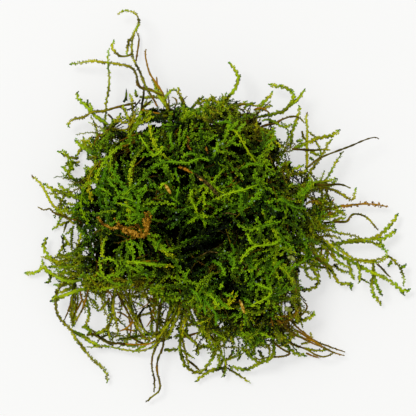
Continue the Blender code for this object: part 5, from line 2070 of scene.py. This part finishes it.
@dataclass
class DryBlades:
    """The dry slivers: each is modelled straight, then bent along its route and laid on the mat."""

    form: MossForm
    finishes: Finishes
    level: float = 26 * MM  # the height at which their routes are read
    step: float = 4.0  # between the points of a route's curve, on the plan
    cuts: int = 14
    blunt: float = 0.04  # how much of a pointed blade its ends lack
    full: float = 0.6  # how full its outline is, less is fuller

    def line_of(self, sliver: Sliver) -> Array:
        """The line of a blade's middle."""
        if sliver.node:
            return line_on(sliver.node, sliver.route)[::3]
        line = PLAN.line(smooth_line(rows_of(sliver.route), self.step), self.level)
        line[:, 2] = evened(self.form.tops(line), 3) + sliver.clear * MM
        return line

    def blade(self, sliver: Sliver) -> bpy.types.Object:
        """Models a blade along its route.

        Args:
            sliver: Its name, route and size.

        Returns:
            The object, with its place in its mesh.
        """
        line = self.line_of(sliver)
        length = float(reach_of(line)[-1])

        path = bpy.data.curves.new(sliver.name + "_path", "CURVE")
        path.dimensions = "3D"
        spline = path.splines.new("POLY")
        spline.points.add(len(line) - 1)
        for point, place in zip(spline.points, line):
            point.co = (*place, 1)
        guide = bpy.data.objects.new(sliver.name + "_path", path)
        bpy.context.scene.collection.objects.link(guide)

        bpy.ops.object.select_all(action="DESELECT")
        bpy.ops.mesh.primitive_cylinder_add(
            vertices=8, radius=sliver.half_width * MM, depth=length, location=(length / 2, 0, 0),
            rotation=(0, math.pi / 2, 0), end_fill_type="TRIFAN",
        )
        made = bpy.context.object
        made.name = made.data.name = sliver.name
        bpy.ops.object.transform_apply(location=True, rotation=True, scale=True)
        bpy.ops.object.mode_set(mode="EDIT")
        for i in range(1, self.cuts):
            bpy.ops.mesh.select_all(action="SELECT")
            bpy.ops.mesh.bisect(plane_co=(length * i / self.cuts, 0, 0), plane_no=(1, 0, 0))
        shape = bmesh.from_edit_mesh(made.data)
        for i in range(self.cuts + 1):
            share = i / self.cuts
            for vert in shape.verts:
                vert.select_set(abs(vert.co.x - length * share) < 0.02 * MM)
            shape.select_flush(True)
            wide = math.sin(math.pi * (self.blunt + (1 - 2 * self.blunt) * share)) ** self.full
            bpy.ops.transform.resize(
                value=(1, wide, sliver.thickness * wide), center_override=(length * share, 0, 0)
            )
        bpy.ops.object.mode_set(mode="OBJECT")
        bend = made.modifiers.new("bend", "CURVE")
        bend.object = guide
        bpy.ops.object.modifier_apply(modifier=bend.name)
        bpy.ops.object.shade_smooth()
        bpy.data.objects.remove(guide)
        return made

    def build(self) -> None:
        """Makes the blades, some of them in place of their solids."""
        for sliver in SLIVERS:
            piece = self.blade(sliver)
            piece.data.materials.append(self.finishes[sliver.finish])
            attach(piece, BODY)
            if sliver.node:
                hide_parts(sliver.node)
            LOG.info("%s: %d faces", piece.name, len(piece.data.polygons))


@dataclass
class Studio:
    """A pale floor, soft light from the upper left, and a camera straight above."""

    floor_radius: float = 3.0
    key_place: tuple[float, float, float] = (-1.2, 1.1, 2.6)
    key_size: float = 1.2
    key_power: float = 42.0
    sky: str = "#FFFFFF"
    sky_strength: float = 0.66
    sensor: float = 36.0  # in millimetres

    def build(self, finish: bpy.types.Material) -> None:
        """Makes the floor, the lights and the camera.

        Args:
            finish: The floor's material.
        """
        bpy.ops.object.select_all(action="DESELECT")
        bpy.ops.mesh.primitive_circle_add(vertices=64, radius=self.floor_radius, fill_type="NGON")
        floor = bpy.context.object
        floor.name = "studio_floor"
        floor.data.materials.append(finish)

        lamp = bpy.data.lights.new("key", "AREA")
        lamp.shape = "DISK"
        lamp.size = self.key_size
        lamp.energy = self.key_power
        key = bpy.data.objects.new("key", lamp)
        key.location = self.key_place
        key.rotation_euler = (-Vector(self.key_place)).to_track_quat("-Z", "Y").to_euler()
        bpy.context.scene.collection.objects.link(key)

        world = bpy.data.worlds.new("studio")
        world.use_nodes = True
        background = world.node_tree.nodes["Background"]
        background.inputs["Color"].default_value = linear(self.sky)
        background.inputs["Strength"].default_value = self.sky_strength
        bpy.context.scene.world = world
        bpy.context.scene.view_settings.view_transform = "Standard"

        view = bpy.data.cameras.new("above")
        view.sensor_width = self.sensor
        view.lens = self.sensor * PLAN.eye_height / (PLAN.width * PLAN.step)
        view.clip_start = 0.01
        camera = bpy.data.objects.new("above", view)
        camera.location = PLAN.eye()
        bpy.context.scene.collection.objects.link(camera)
        bpy.context.scene.camera = camera


def main() -> None:
    """Builds the clump around its frame, and the studio."""
    logging.basicConfig(level=logging.INFO, format="%(message)s")
    finishes = {
        "moss_leaf": MossFinish("living_moss_leaf", MOSS_COLOURS, (0.60, 0.40), 0.06).build(),
        "moss_stem": MossFinish("wiry_moss_stem", MOSS_COLOURS, (0.60, 0.50), 0.06).build(),
        # The shaded copy of the moss finish: its weaker reflection stands in for the shade in the mat's
        # depths
        "deep_moss": MossFinish("shaded_old_moss", MOSS_COLOURS, (0.80, 0.70), 0.02).build(),
        "cedar": DryFinish("dry_cedar_scale", "#4A2E04", "#AC7C14", "#DAAE4A", grain=0.36 * MM).build(),
        "orange_straw": DryFinish("orange_straw", "#3A2404", "#A8740E", "#D0A034", grain=0.25 * MM).build(),
        "brown_straw": DryFinish("brown_straw", "#241604", "#865C0E", "#B4841E", grain=0.25 * MM).build(),
        "tan_straw": DryFinish("tan_straw", "#5A400C", "#BE9428", "#E0C264", grain=0.25 * MM).build(),
        "old_stalk": DryFinish("old_brown_stalk", "#161004", "#54461A", "#8C7434", grain=0.20 * MM).build(),
        "pale_leaf": DryFinish("pale_old_leaf", "#6A7424", "#98A248", "#BCC478", grain=0.30 * MM).build(),
        "olive_leaf": DryFinish("olive_old_leaf", "#4C500C", "#80821A", "#A0A434", grain=0.30 * MM).build(),
    }
    form = MossForm()
    for part in (Tangle, StrayShoots, CrownShoots, DeadCedar, DryBlades):
        part(form, finishes).build()
    Studio().build(FloorFinish().build())


if __name__ == "__main__":
    main()
